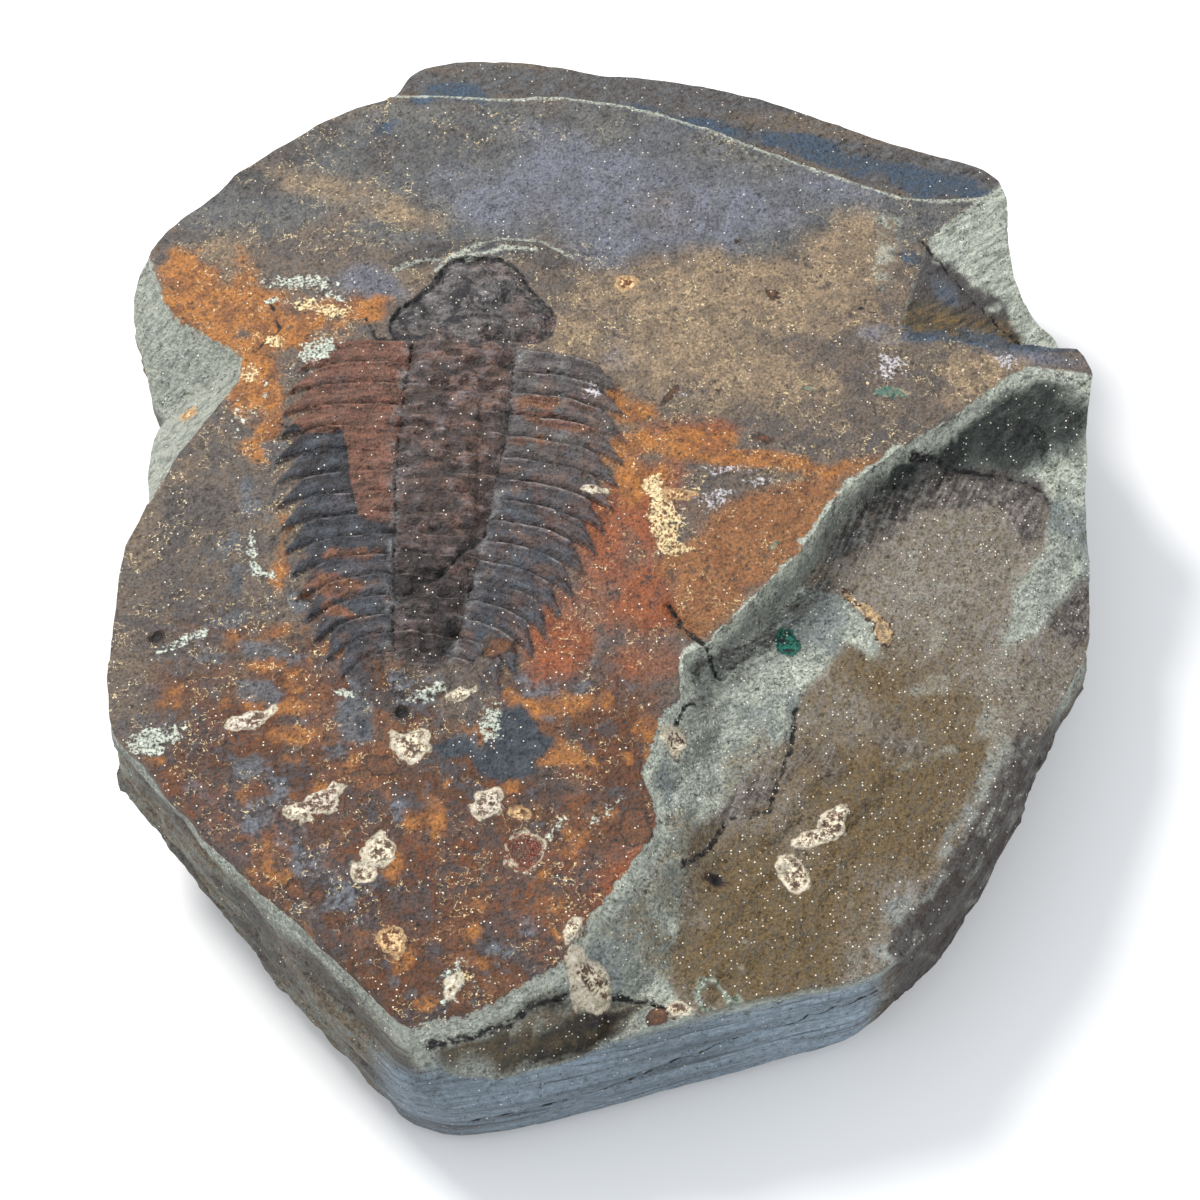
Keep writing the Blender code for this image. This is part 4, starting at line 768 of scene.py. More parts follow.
# Stains. Each row is x, y, half length, half width, turn, strength.
upperStains = {
    "slate": [
        (-59.0, 85.8, 28.8, 14.0, 26, 1), (-33.4, 92.8, 26.0, 11.5, 7, 1), (-1.0, 90.0, 47.4, 17.2, 0, 1),
        (33.4, 87.2, 34.3, 14.2, -13, 1), (52.3, 76.1, 23.4, 11.1, -16, 0.9), (-9.5, 67.8, 25.4, 11.0, 0, 0.8),
        (28.6, 66.5, 17.0, 6.5, 6, 0.8), (-37.0, 69.2, 19.1, 8.2, 6, 0.7), (64.8, 36.2, 14.3, 5.2, -6, 0.5),
    ],
    "orange": [
        (-81.1, 49.2, 12.5, 9.6, 0, 1), (-88.9, 55.8, 5.4, 8.1, 0, 0.9), (-73.2, 40.0, 10.3, 9.4, 0, 1),
        (-69.9, 26.5, 6.5, 11.5, 0, 1), (-68.7, 17.3, 4.4, 7.0, 0, 0.9), (-52.8, 46.0, 7.5, 4.2, 0, 0.9),
        (-60.9, 41.3, 8.3, 5.7, 0, 0.8), (5.5, 21.5, 4.1, 4.5, 0, 0.9), (9.1, 12.1, 12.1, 3.7, 0, 1),
        (27.0, 8.2, 24.0, 2.2, -4, 0.9), (7.0, 3.8, 8.0, 4.9, 0, 0.8), (-63.9, -31.7, 2.9, 1.8, 24, 0.8),
        (-65.0, -38.9, 3.4, 1.8, 12, 0.9), (-57.6, -48.1, 6.5, 2.2, 0, 0.9), (-59.5, -53.8, 3.0, 2.2, 0, 0.8),
        (-13.9, -48.6, 4.9, 2.6, 0, 0.8), (-6.3, -47.7, 4.2, 3.1, 0, 0.9), (-2.9, -60.2, 4.1, 1.7, 0, 0.9),
        (-32.5, -72.9, 2.2, 8.8, 0, 0.7), (-38.8, -82.4, 1.8, 2.9, 0, 0.8),
        (-67.8, -65.3, 1.9, 4.3, 0, 0.7), (-64.4, -9.6, 1.8, 10.5, 0, 0.8), (-33.1, -108.6, 2.9, 1.9, 0, 0.6),
        (-23.5, -100.8, 4.0, 2.0, 0, 0.6), (-50.1, -33.5, 1.5, 3.6, 0, 0.5), (-67.5, -46.8, 3.8, 1.8, 23, 0.6),
    ],
    "ribOrange": [
        (-52.4, -14.7, 7.0, 1.9, 6, 0.8), (-53.6, -22.1, 7.0, 2.1, 0, 0.9), (-50.4, -27.2, 5.9, 1.8, -9, 0.6),
        (-15.2, 22.5, 11.2, 1.8, -5, 0.9), (-7.9, 17.0, 11.4, 1.7, -12, 0.9), (-34.2, 31.6, 3.7, 1.3, 0, 0.9),
        (-12.1, 12.1, 8.1, 1.5, -10, 0.6), (-24.1, -33.5, 1.9, 3.2, 0, 0.4),
    ],
    "red": [
        (6.9, -2.2, 8.3, 14.5, 0, 1), (-1.0, -15.2, 7.8, 16.6, 0, 0.9), (6.8, -24.4, 9.7, 13.0, 0, 0.9),
        (17.1, 13.6, 8.9, 4.9, 0, 0.6), (-8.3, -30.8, 7.5, 13.5, 0, 0.9), (6.7, -38.0, 9.0, 7.5, 0, 0.8),
        (0.8, -88.9, 5.9, 12.1, -22, 0.7), (6.4, -76.6, 4.4, 6.2, 0, 0.6), (-8.3, -80.7, 11.0, 6.2, 0, 0.4),
        (18.6, -15.2, 4.7, 14.2, 0, 0.6),
    ],
    "rustBlock": [
        (28.5, -11.7, 19.2, 10.3, 36, 1), (20.4, -24.4, 8.3, 7.5, 34, 1), (38.7, -2.2, 12.6, 6.0, 29, 0.9),
        (51.0, 6.2, 10.7, 3.7, 29, 0.6),
    ],
    "tan": [
        (32.3, 49.2, 29.1, 11.1, 0, 1), (9.4, 49.2, 14.6, 7.4, 0, 0.9), (23.6, 33.1, 22.5, 9.8, 0, 0.9),
        (51.5, 60.3, 12.6, 11.4, 0, 0.9), (60.2, 27.3, 18.2, 7.1, -12, 0.3), (43.6, 22.2, 20.3, 9.1, 0, 0.25),
        (-2.7, 41.3, 9.1, 7.8, 0, 0.8), (77.7, 30.6, 10.1, 5.7, -13, 0.9), (-58.6, 78.3, 14.1, 6.0, -19, 0.7),
        (-43.4, 71.9, 15.0, 3.3, -10, 0.6), (-74.8, 65.1, 10.7, 4.3, 26, 0.5), (-65.2, 43.9, 6.2, 4.2, 0, 0.5),
    ],
    # painted sheen: smooth patches of the upper bed that show the sky's bluish reflection
    "violet": [
        (-1.0, 78.8, 23.9, 14.6, 0, 1), (20.3, 74.7, 21.3, 12.8, 0, 0.9), (-22.3, 77.2, 12.8, 10.0, 0, 0.8),
        (46.0, 80.2, 12.8, 7.2, -16, 0.8), (9.5, 65.1, 12.7, 7.1, 0, 0.8), (8.8, 33.6, 7.8, 4.6, 0, 1),
        (-49.9, 53.9, 7.2, 4.5, -10, 1), (55.1, 39.8, 4.1, 2.1, 0, 1), (88.0, 34.4, 9.5, 2.6, -8, 1),
        (28.6, 66.5, 10.7, 5.4, 13, 0.6),
    ],
    "deepBlue": [
        (64.6, 83.9, 16.1, 4.2, -20, 1), (44.5, 91.2, 13.1, 3.1, -22, 1), (25.1, 97.4, 13.1, 2.3, -16, 0.8),
        (5.6, 103.2, 13.1, 1.7, -5, 0.6), (-31.3, 107.2, 8.0, 3.2, -8, 1), (-37.8, 104.9, 5.7, 2.9, 0, 0.9),
        (-44.5, 97.4, 6.7, 2.3, 26, 0.5), (76.1, 78.8, 7.7, 2.2, -8, 0.9), (70.0, 54.0, 3.0, 9.0, 35, 0.8),
        (82.0, 41.5, 10.0, 3.0, -20, 0.9), (78.0, 39.6, 16.0, 2.2, -5, 1),
    ],
    "dark": [
        (-65.5, 87.2, 18.0, 6.6, 32, 0.8), (-44.1, 90.0, 19.4, 5.1, 7, 0.7), (-14.1, 100.8, 19.6, 2.9, 0, 0.5),
        (-80.1, -5.8, 13.9, 14.5, 24, 0.5), (-84.5, -24.4, 9.7, 14.0, 0, 0.4),
    ],
    "blueGrey": [
        (-65.3, -45.1, 4.6, 2.9, 0, 1), (-48.7, -51.2, 3.4, 3.7, 0, 1), (-65.9, -36.2, 3.1, 2.0, 0, 0.9),
        (-66.6, -60.7, 3.7, 2.6, 0, 0.9), (-65.7, 10.6, 2.4, 2.2, 0, 1), (-59.3, -24.4, 2.7, 2.3, 0, 0.7),
        (-26.2, -57.2, 4.1, 2.6, 0, 0.8), (-73.1, -15.2, 3.9, 6.1, 0, 0.6), (-70.5, -1.0, 3.2, 7.2, 0, 0.6),
        (-36.8, -105.7, 2.5, 2.7, 0, 0.5), (-38.8, -77.7, 1.8, 1.7, 0, 0.6), (-71.6, -29.0, 4.2, 2.3, 12, 0.7),
    ],
    "blueBlack": [
        (-17.4, -53.6, 4.6, 5.2, 0, 1), (-19.8, -61.6, 6.6, 3.6, -10, 1), (-28.6, -58.4, 4.2, 2.0, 0, 1),
        (-14.6, -57.6, 4.4, 3.8, 0, 1), (-46.8, -52.4, 1.6, 2.2, 0, 0.8),
    ],
    "southRust": [
        (-30.0, -84.0, 44.0, 36.0, 0, 1), (-60.0, -60.0, 30.0, 24.0, 30, 1), (-4.0, -64.0, 18.0, 22.0, 0, 1),
        (-76.0, -40.0, 16.0, 18.0, 0, 0.6),
    ],
    "purple": [
        (-19.3, -86.8, 20.1, 12.3, 0, 0.9), (-70.8, -68.3, 11.2, 15.0, 0, 0.7), (-50.7, -78.7, 11.0, 12.5, 0, 0.6),
        (-66.5, -61.9, 11.2, 6.4, 0, 0.6), (-1.0, -68.3, 11.2, 12.8, 0, 0.5), (-40.8, -94.9, 7.2, 8.0, 0, 0.6),
    ],
    "chipFace": [(58.8, 61.5, 2.4, 8.5, -10, 1), (61.0, 69.5, 3.4, 2.2, -20, 0.9)],
    "pale": [
        (-58.9, 35.7, 4.1, 3.1, 13, 1), (-63.2, 53.9, 7.2, 1.9, -6, 0.9), (-69.6, 49.2, 3.0, 1.3, 37, 0.7),
        (-57.2, 49.2, 4.4, 1.5, -24, 0.7), (-69.6, -14.2, 1.0, 5.2, 12, 0.9), (-67.0, -18.4, 3.0, 0.9, -38, 0.9),
        (-80.6, -34.4, 6.2, 1.3, 33, 0.9), (-86.5, -56.0, 4.5, 2.6, 23, 1), (-82.2, -53.4, 2.6, 1.7, 35, 0.8),
        (-21.8, -52.1, 1.9, 4.3, -17, 0.9), (-34.5, -45.5, 4.2, 1.5, 12, 0.8), (-9.1, -74.1, 1.1, 3.3, -28, 0.7),
        (14.5, -54.4, 4.0, 3.3, 43, 0.8), (-27.0, -105.7, 2.6, 4.6, -27, 0.8), (-19.8, -105.7, 2.2, 1.0, 22, 0.6),
        (-31.7, -97.8, 0.9, 2.8, 0, 0.6), (-49.5, -45.7, 2.7, 0.9, -17, 0.8), (-1.0, -71.4, 5.0, 1.0, 38, 0.7),
        (-75.4, -30.1, 1.0, 2.3, 0, 0.5), (-73.8, 18.5, 2.4, 7.5, 0, 0.5), (-69.1, 24.8, 1.2, 3.5, 0, 0.6),
    ],
    "yellow": [
        (9.2, 2.4, 2.0, 2.4, 20, 1), (10.9, -3.5, 1.7, 4.2, 0, 1), (12.4, -9.0, 2.2, 3.8, 15, 1),
        (15.2, -12.8, 2.4, 1.1, -15, 0.9), (14.2, -5.0, 1.4, 3.4, 25, 0.6), (16.6, 1.2, 3.4, 0.9, 8, 0.5),
        (-63.2, 47.1, 3.3, 2.4, 0, 0.6), (-56.9, 45.2, 3.7, 1.8, 0, 0.7), (-69.3, 38.0, 2.5, 1.8, 0, 0.6),
        (-73.4, 29.1, 2.0, 3.1, 0, 0.6), (-24.3, -104.2, 2.1, 1.6, 0, 0.5),
    ],
    "whiteDust": [
        (26.0, 6.2, 6.8, 1.2, 6, 0.8), (30.1, 3.8, 4.0, 1.5, 0, 0.8), (22.0, -0.5, 3.8, 2.3, 34, 0.9),
        (-2.6, 25.5, 2.9, 1.7, -24, 0.9), (17.3, 24.5, 4.9, 2.0, 0, 0.5), (7.1, 23.5, 2.8, 1.5, 0, 0.5),
        (57.6, 32.1, 3.3, 3.6, 0, 1), (82.6, 33.1, 2.5, 2.6, 0, 0.9), (81.3, 28.5, 2.0, 1.5, 0, 0.6),
    ],
}
lowerStains = {
    # where painted shadow fills the hollow under the upper edge
    "ledgeDark": [
        (85.0, 21.0, 16.0, 8.0, 8, 1), (72.0, 19.0, 12.0, 4.0, 36, 1), (61.0, 11.5, 9.0, 2.2, 38, 0.9),
        (92.0, 20.0, 6.0, 6.0, 0, 0.7),
    ],
    "frontOlive": [
        (-15.6, -110.3, 20.1, 5.1, 9, 1), (-30.2, -110.8, 9.1, 4.7, 0, 1), (-1.0, -105.9, 9.2, 2.8, 13, 0.8),
        (-34.1, -103.9, 3.7, 4.0, 0, 0.6),
    ],
    "freshBrown": [
        (15.9, -78.4, 7.6, 14.5, -33, 1), (8.3, -92.8, 9.3, 8.1, -22, 0.8), (24.9, -59.2, 3.9, 10.7, -34, 0.6),
        (6.4, -94.8, 16.6, 6.1, -11, 0.6),
    ],
    "olive": [
        (48.4, -63.0, 20.9, 19.7, 0, 1), (32.5, -84.0, 18.6, 16.8, 0, 1), (61.1, -41.1, 15.5, 13.6, 0, 0.8),
        (28.4, -96.2, 18.4, 10.1, 0, 1), (68.0, -54.3, 9.6, 13.3, 0, 0.8),
    ],
    "darkBed": [
        (72.2, 8.2, 16.3, 5.4, 0, 1), (55.5, 0.9, 13.4, 4.5, 39, 0.8), (85.8, 0.9, 4.4, 8.8, 0, 0.8),
        (37.0, -8.7, 8.7, 3.1, 39, 0.8), (25.6, -61.9, 10.1, 2.9, 38, 0.7), (33.4, -56.5, 8.3, 2.4, 43, 0.6),
        (21.8, -27.4, 2.8, 2.8, 0, 1), (49.0, -49.9, 16.0, 8.6, 22, 0.4), (94.5, -12.0, 4.5, 15.0, -6, 0.9),
    ],
    "haze": [
        (67.2, -51.0, 10.2, 1.1, 27, 0.8), (60.8, -13.5, 1.6, 12.0, -14, 0.6), (63.9, -27.4, 1.6, 9.3, -24, 0.5),
        (73.7, -54.3, 1.9, 15.4, 6, 0.8), (74.1, -75.7, 2.3, 4.2, 0, 0.9), (68.0, -75.7, 1.5, 2.5, 0, 0.9),
        (68.1, -79.9, 2.0, 4.0, 32, 0.8), (44.9, -98.2, 1.8, 3.2, 0, 0.8), (44.8, -84.0, 0.9, 8.2, 11, 0.4),
        (24.8, -92.2, 1.1, 6.1, 0, 0.4), (61.2, -38.8, 6.0, 2.2, 17, 0.5), (74.7, -41.1, 3.9, 5.4, 0, 0.5),
        (79.6, -27.4, 2.0, 7.0, -30, 0.7), (66.5, -18.2, 6.0, 3.8, 0, 0.4), (82.1, -15.8, 1.6, 4.8, -18, 0.6),
        (75.6, -57.6, 2.7, 15.6, -14, 0.9), (71.7, -72.6, 2.2, 8.6, -28, 0.8), (60.3, -89.2, 1.9, 9.1, -36, 1),
        (55.2, -97.3, 1.5, 4.9, -28, 1),
    ],
}
brownBed = [
    (12.1, -104.2), (11.5, -96.2), (13.1, -88.1), (13.9, -79.9), (15.9, -73.6), (19.4, -67.3), (24.7, -60.8),
    (30.1, -53.2), (35.6, -49.9), (37.8, -41.1), (42.4, -34.8), (47.4, -27.4), (51.9, -30.9), (54.2, -25.1),
    (48.6, -18.2), (38.7, -16.3), (31.6, -15.8), (33.9, -11.1), (39.1, -6.8), (48.5, 1.4), (58.0, 8.7),
    (68.5, 14.1), (80.7, 13.1), (88.6, 9.4), (90.3, 0.9), (87.1, -8.7), (80.3, -18.2), (78.6, -27.4),
    (83.6, -27.4), (90.3, -18.2), (96.3, -8.7), (104.0, -27.4), (100.0, -60.0), (84.0, -80.0), (58.0, -108.0),
    (46.5, -106.0), (31.9, -106.2), (17.2, -107.8),
]


def stainField(x, y, rows):
    # how strongly a stain covers each point: 1 in its middle, 0.5 on its outline, 0 well outside
    wx = x + 1.6 * crumble(x, y, 9.0, 121)
    wy = y + 1.6 * crumble(x, y, 9.0, 125)
    field = np.zeros_like(x)
    for cx, cy, a, b, turn, strength in rows:
        near = np.hypot(x - cx, y - cy) < 2.2 * max(a, b) + 3.0
        if not near.any():
            continue
        c, s = math.cos(math.radians(turn)), math.sin(math.radians(turn))
        dx, dy = wx[near] - cx, wy[near] - cy
        r = np.hypot((dx * c + dy * s) / a, (dy * c - dx * s) / b)
        field[near] = np.maximum(field[near], strength * softStep(1.0 - 0.5 * r))
    return field


# Colours of the stone, linear values, and how rough, shiny and bumpy it is
stone = {
    "brown": (0.112, 0.083, 0.062),
    "slateBrown": (0.066, 0.057, 0.052),
    "slate": (0.100, 0.098, 0.092),
    "slateDark": (0.058, 0.060, 0.063),
    "southRust": (0.078, 0.029, 0.009),
    "southPurple": (0.047, 0.040, 0.042),
    "orange": (0.330, 0.128, 0.026),
    "orangeDeep": (0.155, 0.062, 0.022),
    "red": (0.230, 0.064, 0.019),
    "redDeep": (0.140, 0.044, 0.018),
    "rustBlock": (0.225, 0.096, 0.032),
    "tan": (0.250, 0.176, 0.106),
    "tanDark": (0.130, 0.096, 0.064),
    # the next two: painted sheen, the sky's bluish reflection on smooth patches
    "violet": (0.118, 0.124, 0.155),
    "violetDark": (0.086, 0.088, 0.100),
    "deepBlue": (0.038, 0.068, 0.108),
    "bightBlue": (0.074, 0.100, 0.135),
    "dark": (0.042, 0.039, 0.038),
    "blueGrey": (0.100, 0.108, 0.122),
    "blueBlack": (0.024, 0.031, 0.040),
    "blueBlackSecond": (0.036, 0.042, 0.050),
    "purple": (0.062, 0.044, 0.040),
    "rustBrown": (0.098, 0.032, 0.009),
    "pale": (0.300, 0.315, 0.265),
    "yellow": (0.480, 0.380, 0.210),
    "white": (0.310, 0.295, 0.310),
    "fresh": (0.340, 0.362, 0.305),
    "freshDark": (0.118, 0.128, 0.112),
    "freshBrown": (0.170, 0.130, 0.080),
    "freshBlue": (0.170, 0.200, 0.205),
    "ledgeWall": (0.215, 0.222, 0.195),
    # the next two: painted shadow in the hollow under the upper edge
    "ledgeDark": (0.013, 0.017, 0.014),
    "lipHalfShadow": (0.020, 0.025, 0.022),
    "olive": (0.122, 0.077, 0.026),
    "oliveDeep": (0.068, 0.050, 0.027),
    "frontOlive": (0.085, 0.058, 0.025),
    "frontDeep": (0.026, 0.021, 0.014),
    "lowBrown": (0.175, 0.144, 0.104),
    "lowViolet": (0.135, 0.120, 0.105),
    "lowDark": (0.055, 0.047, 0.047),
    "haze": (0.240, 0.250, 0.220),
    "edgeDark": (0.046, 0.034, 0.029),
    "band": (0.165, 0.205, 0.240),
    "bandDark": (0.085, 0.112, 0.134),
    "sideBrown": (0.150, 0.116, 0.076),
    "fossil": (0.060, 0.049, 0.050),
    # the next two: a painted highlight for the ribs' crests, and the fossil's near black, also laid in its furrows as
    # painted shade
    "fossilCrestHighlight": (0.165, 0.150, 0.143),
    "fossilBlackAndGrooveShade": (0.016, 0.014, 0.016),
    "fossilBlue": (0.038, 0.045, 0.056),
    "fossilCover": (0.128, 0.054, 0.034),
    "dust": (0.150, 0.155, 0.155),
    "axis": (0.050, 0.037, 0.034),
    "axisWarm": (0.090, 0.045, 0.030),
    "head": (0.118, 0.108, 0.106),
    "crevice": (0.010, 0.009, 0.009),
    # pale mica flakes, made bright as painted glints
    "micaAndGlint": (0.800, 0.740, 0.620),
    "cream": (0.500, 0.440, 0.320),
    "creamWarm": (0.480, 0.330, 0.170),
    "creamGrey": (0.420, 0.370, 0.300),
    "crustBrown": (0.130, 0.078, 0.052),
    "spotBrown": (0.150, 0.062, 0.028),
    "green": (0.014, 0.120, 0.085),
    "greenDark": (0.010, 0.022, 0.020),
    "faintGreen": (0.080, 0.150, 0.115),
    "markBrown": (0.060, 0.032, 0.020),
    "markRed": (0.130, 0.030, 0.013),
    "roughness": 0.62,
    "shine": 0.30,
    "bump": 0.75,
    "micaSize": 0.55,
}

# Stains laid over one another, in order. Each: stain, colour, the colour it is mottled with,
# size of its frayed edge, how far it frays, how soft the edge is, cover.
upperCoats = [
    ("slate", "slate", "slateDark", 12.0, 0.5, 0.22, 0.95),
    ("dark", "dark", "slateBrown", 6.0, 0.6, 0.20, 0.8),
    ("purple", "purple", "rustBrown", 6.0, 0.9, 0.22, 0.75),
    # painted sheen of the sky on smooth patches
    ("violet", "violet", "violetDark", 12.0, 0.5, 0.34, 0.92),
    ("tan", "tan", "tanDark", 9.0, 0.5, 0.30, 0.94),
    ("red", "red", "redDeep", 9.0, 0.4, 0.26, 0.95),
    ("orange", "orange", "orangeDeep", 5.0, 0.7, 0.24, 0.95),
    ("rustBlock", "rustBlock", "orangeDeep", 8.0, 0.2, 0.12, 0.92),
    ("deepBlue", "deepBlue", "blueBlack", 6.0, 0.5, 0.16, 0.92),
    ("chipFace", "pale", "tanDark", 3.0, 0.5, 0.20, 0.75),
    ("blueGrey", "blueGrey", "slateDark", 3.0, 0.7, 0.14, 0.85),
    ("blueBlack", "blueBlack", "blueBlackSecond", 3.0, 0.22, 0.08, 1.0),
]
southBlotches = [
    ("southPurple", "blueGrey", 11.0, 185, 0.10, 0.9), ("rustBrown", "southRust", 9.0, 189, 0.16, 0.8),
    ("dark", "southPurple", 6.0, 193, 0.24, 0.6), ("orangeDeep", "rustBrown", 9.0, 195, 0.20, 0.7),
    ("orange", "orangeDeep", 6.0, 187, 0.36, 0.75),
]
lowerCoats = [
    ("olive", "olive", "oliveDeep", 12.0, 0.4, 0.34, 0.92),
    ("darkBed", "lowDark", "lowViolet", 6.0, 0.5, 0.22, 0.85),
    ("haze", "haze", "lowBrown", 3.0, 0.7, 0.22, 0.7),
]
# Crisp patches laid on by the material itself, with a finely frayed edge: stain, its two colours, strength
crispCoats = [
    ("yellow", "yellow", "rustBlock", 1.25),
    ("pale", "fresh", "freshDark", 0.86),
    ("whiteDust", "white", "tanDark", 0.72),
]
# Fine lines across each rib and ring, from its front margin at 0 to its back margin at 1: a painted highlight on the
# crest and painted shade in the furrows
ribLines = [
    (0.0, "fossilBlackAndGrooveShade", 0.85), (0.05, "fossilBlackAndGrooveShade", 0.0), (0.06, "fossilCrestHighlight", 0.0), (0.11, "fossilCrestHighlight", 1.0),
    (0.17, "fossilCrestHighlight", 0.0), (0.20, "fossilBlackAndGrooveShade", 0.0), (0.27, "fossilBlackAndGrooveShade", 0.6), (0.33, "fossilBlackAndGrooveShade", 0.0),
    (0.94, "fossilBlackAndGrooveShade", 0.0), (1.0, "fossilBlackAndGrooveShade", 0.85),
]
# Flecks strewn over the upper bed: colour, mottling, where it starts and where it is full, cover
flecks = [
    ("dark", "medium", 0.42, 0.34, 0.4),
    ("slateDark", "small", 0.41, 0.33, 0.35),
]
# Colours of each kind of mark: rim, what the rim is mottled with, middle, what that is mottled with
markColours = {
    "creamCrust": ("cream", "creamGrey", "crustBrown", "cream"),
    "paleRing": ("cream", "creamGrey", "crustBrown", "creamGrey"),
    "tanRing": ("creamWarm", "orangeDeep", "orangeDeep", "creamWarm"),
    "brownSpot": ("markBrown", "crevice", "spotBrown", "markBrown"),
    "glossyHollow": ("cream", "markRed", "markRed", "markBrown"),
    "wormTube": ("markBrown", "creamWarm", "creamWarm", "tanDark"),
    "darkPit": ("markBrown", "crevice", "crevice", "crevice"),
    "green": ("green", "greenDark", "greenDark", "green"),
    "faintGreen": ("faintGreen", "tan", "faintGreen", "tanDark"),
}


def mottledWith(name, second, count):
    return [np.tile(np.array(stone[key]), (count, 1)) for key in (name, second)]


def paint(pair, first, second, amount):
    # lays a colour, and the colour it is mottled with, over the pair that is there
    amount = np.reshape(np.clip(amount, 0.0, 1.0), (-1, 1))
    return [old + (np.array(stone[key]) - old) * amount for old, key in zip(pair, (first, second))]


def join(under, over, amount):
    amount = np.reshape(np.clip(amount, 0.0, 1.0), (-1, 1))
    return [a + (b - a) * amount for a, b in zip(under, over)]


def shaded(pair, light):
    return [colour * light[:, None] for colour in pair]


def frayed(x, y, name, rows, size, fray, soft):
    seed = 200 + 7 * len(name) + ord(name[0])  # each stain frays in its own way
    edge = stainField(x, y, rows)
    edge = edge + fray * crumble(x, y, size, seed, 4) * softStep(4.0 * edge)
    return softStep((edge - 0.5 + soft) / (2 * soft))


def stained(x, y, pair, coats, stains):
    for name, first, second, size, fray, soft, cover in coats:
        pair = paint(pair, first, second, cover * frayed(x, y, name, stains[name], size, fray, soft))
    return pair


def fossilPaint(x, y, pair, fields):
    u, i, t = bodyPlace(x, y)
    reach = bodyHalf(i) - axisHalf(i)
    limit = tipLimit(i)
    toTip = (limit - t) * reach + 0.3 * crumble(x, y, 2.0, 131)
    blotch, patch, lumps = crumble(x, y, 9.0, 133, 4), crumble(x, y, 3.0, 137), crumble(x, y, 2.2, 139)
    across = np.clip(np.abs(u) / axisHalf(i), 0.0, 1.0)
    # ribs: brown on the upper left, bluish black on the lower left, grey on the right
    ribs = mottledWith("fossil", "fossilBlue", len(x))
    ribs = paint(ribs, "fossilBlue", "fossilBlackAndGrooveShade", softStep(0.45 - u / 40.0 + 0.8 * blotch))
    ribs = paint(ribs, "slate", "fossil", 0.85 * softStep(u / 8.0) * softStep((8.0 - i) / 5.0))
    ribs = paint(ribs, "axisWarm", "fossil", 0.6 * softStep(0.2 + 1.3 * patch + u / 60.0))
    cover = softStep(coverDepth(x, y) / 0.5) * softStep((12.5 - i) / 5.0) * softStep((6.0 - u) / 6.0)
    ribs = paint(ribs, "fossilCover", "axisWarm", cover * softStep(1.5 + 1.2 * blotch))
    rusty = stainField(x, y, upperStains["ribOrange"]) + 0.5 * patch
    ribs = paint(ribs, "orangeDeep", "fossilCover", 0.85 * softStep((rusty - 0.3) / 0.4))
    phase = i - np.floor(i)
    # painted light and shade across each rib: lighter on its crests, darker in the furrows, half as strong under the
    # cover
    ribLightAndShade = 0.82 + 0.40 * np.exp(-((phase - 0.12) / 0.09) ** 2) + 0.22 * np.exp(-((phase - 0.66) / 0.16) ** 2)
    ribLightAndShade -= 0.42 * np.exp(-(np.minimum(phase, 1.0 - phase) / 0.07) ** 2)
    ribLightAndShade = ribLightAndShade + (1.0 - ribLightAndShade) * 0.5 * cover
    ribs = shaded(ribs, ribLightAndShade * (1.0 + 0.35 * lumps))
    # axis: dark and rough, warmer near its middle
    axis = mottledWith("axis", "fossil", len(x))
    axis = paint(axis, "axisWarm", "axis", 0.6 * softStep(0.4 + 1.6 * blotch))
    tailward = softStep((i - 8.0 + 5.0 * blotch) / 4.0)
    axis = paint(axis, "fossilBlackAndGrooveShade", "axis", 0.8 * tailward * softStep(0.6 + 1.6 * patch))
    # painted highlights where the axis's folds stand up, with random lumps, and darker towards the tail
    folds = softStep((crumble(x, 1.9 * y, 3.4, 66, 2) + 0.04) / 0.16)
    shade = (1.0 + 0.8 * lumps) * (0.66 + 0.8 * folds) * (1.0 - 0.32 * softStep((i - 7.0) / 5.0))
    axis = shaded(axis, shade)
    body = join(ribs, axis, softStep(0.5 - t * reach / 0.6))
    dust = np.exp(-((t * reach - 0.3 + 0.6 * patch) / 1.1) ** 2) * softStep(0.55 + 1.5 * lumps)
    body = paint(body, "dust", "fossil", 0.75 * dust)
    tail = softStep((17.2 - i + 2.0 * blotch + patch - 1.4 * across ** 2) / 1.6)
    onBody = softStep((toTip + 0.4) / (0.9 + 0.8 * softStep(0.5 + 1.5 * blotch))) * softStep((i + 0.2) / 0.3) * tail
    pair = join(pair, body, 0.97 * onBody)
    depth = fields["headDepth"]
    head = mottledWith("head", "fossilBlackAndGrooveShade", len(x))
    head = paint(head, "axisWarm", "fossilBlackAndGrooveShade", 0.6 * softStep(0.2 + 1.5 * blotch))
    head = paint(head, "slate", "head", 0.7 * softStep(0.1 + 1.6 * patch))
    head = shaded(head, 0.95 + 0.6 * lumps)
    pair = join(pair, head, softStep((depth + 0.2) / 0.5) * softStep((0.1 - i) / 0.3))
    lens = softStep((depthIn(x, y, fossil["border"]) + 0.6 * patch) / 1.2) * softStep(-depth / 0.4)
    pair = paint(pair, "slateBrown", "dark", 0.8 * lens)
    ribbed = onBody * softStep(t * reach / 0.8)
    fields["lineNumber"] = i + np.where(t > 0.0, 0.0, 0.16 * across ** 2)
    rightSide = 0.45 + 0.55 * softStep(u / 6.0)
    onRib = ribbed * softStep((toTip - 0.3) / 1.8) * softStep(0.75 + 1.5 * patch) * rightSide * (1.0 - 0.7 * cover)
    fields["lineShare"] = np.where(t > 0.0, onRib, 0.7 * onBody * softStep(0.5 + 1.4 * lumps))
    fields["onFossil"] = np.maximum(onBody, softStep((depth + 0.2) / 0.5))
    # wear runs along the ribs
    along = np.stack([0.22 * t * reach, i * 4.6, np.full(len(x), 50.0)], axis=1)
    return pair, along


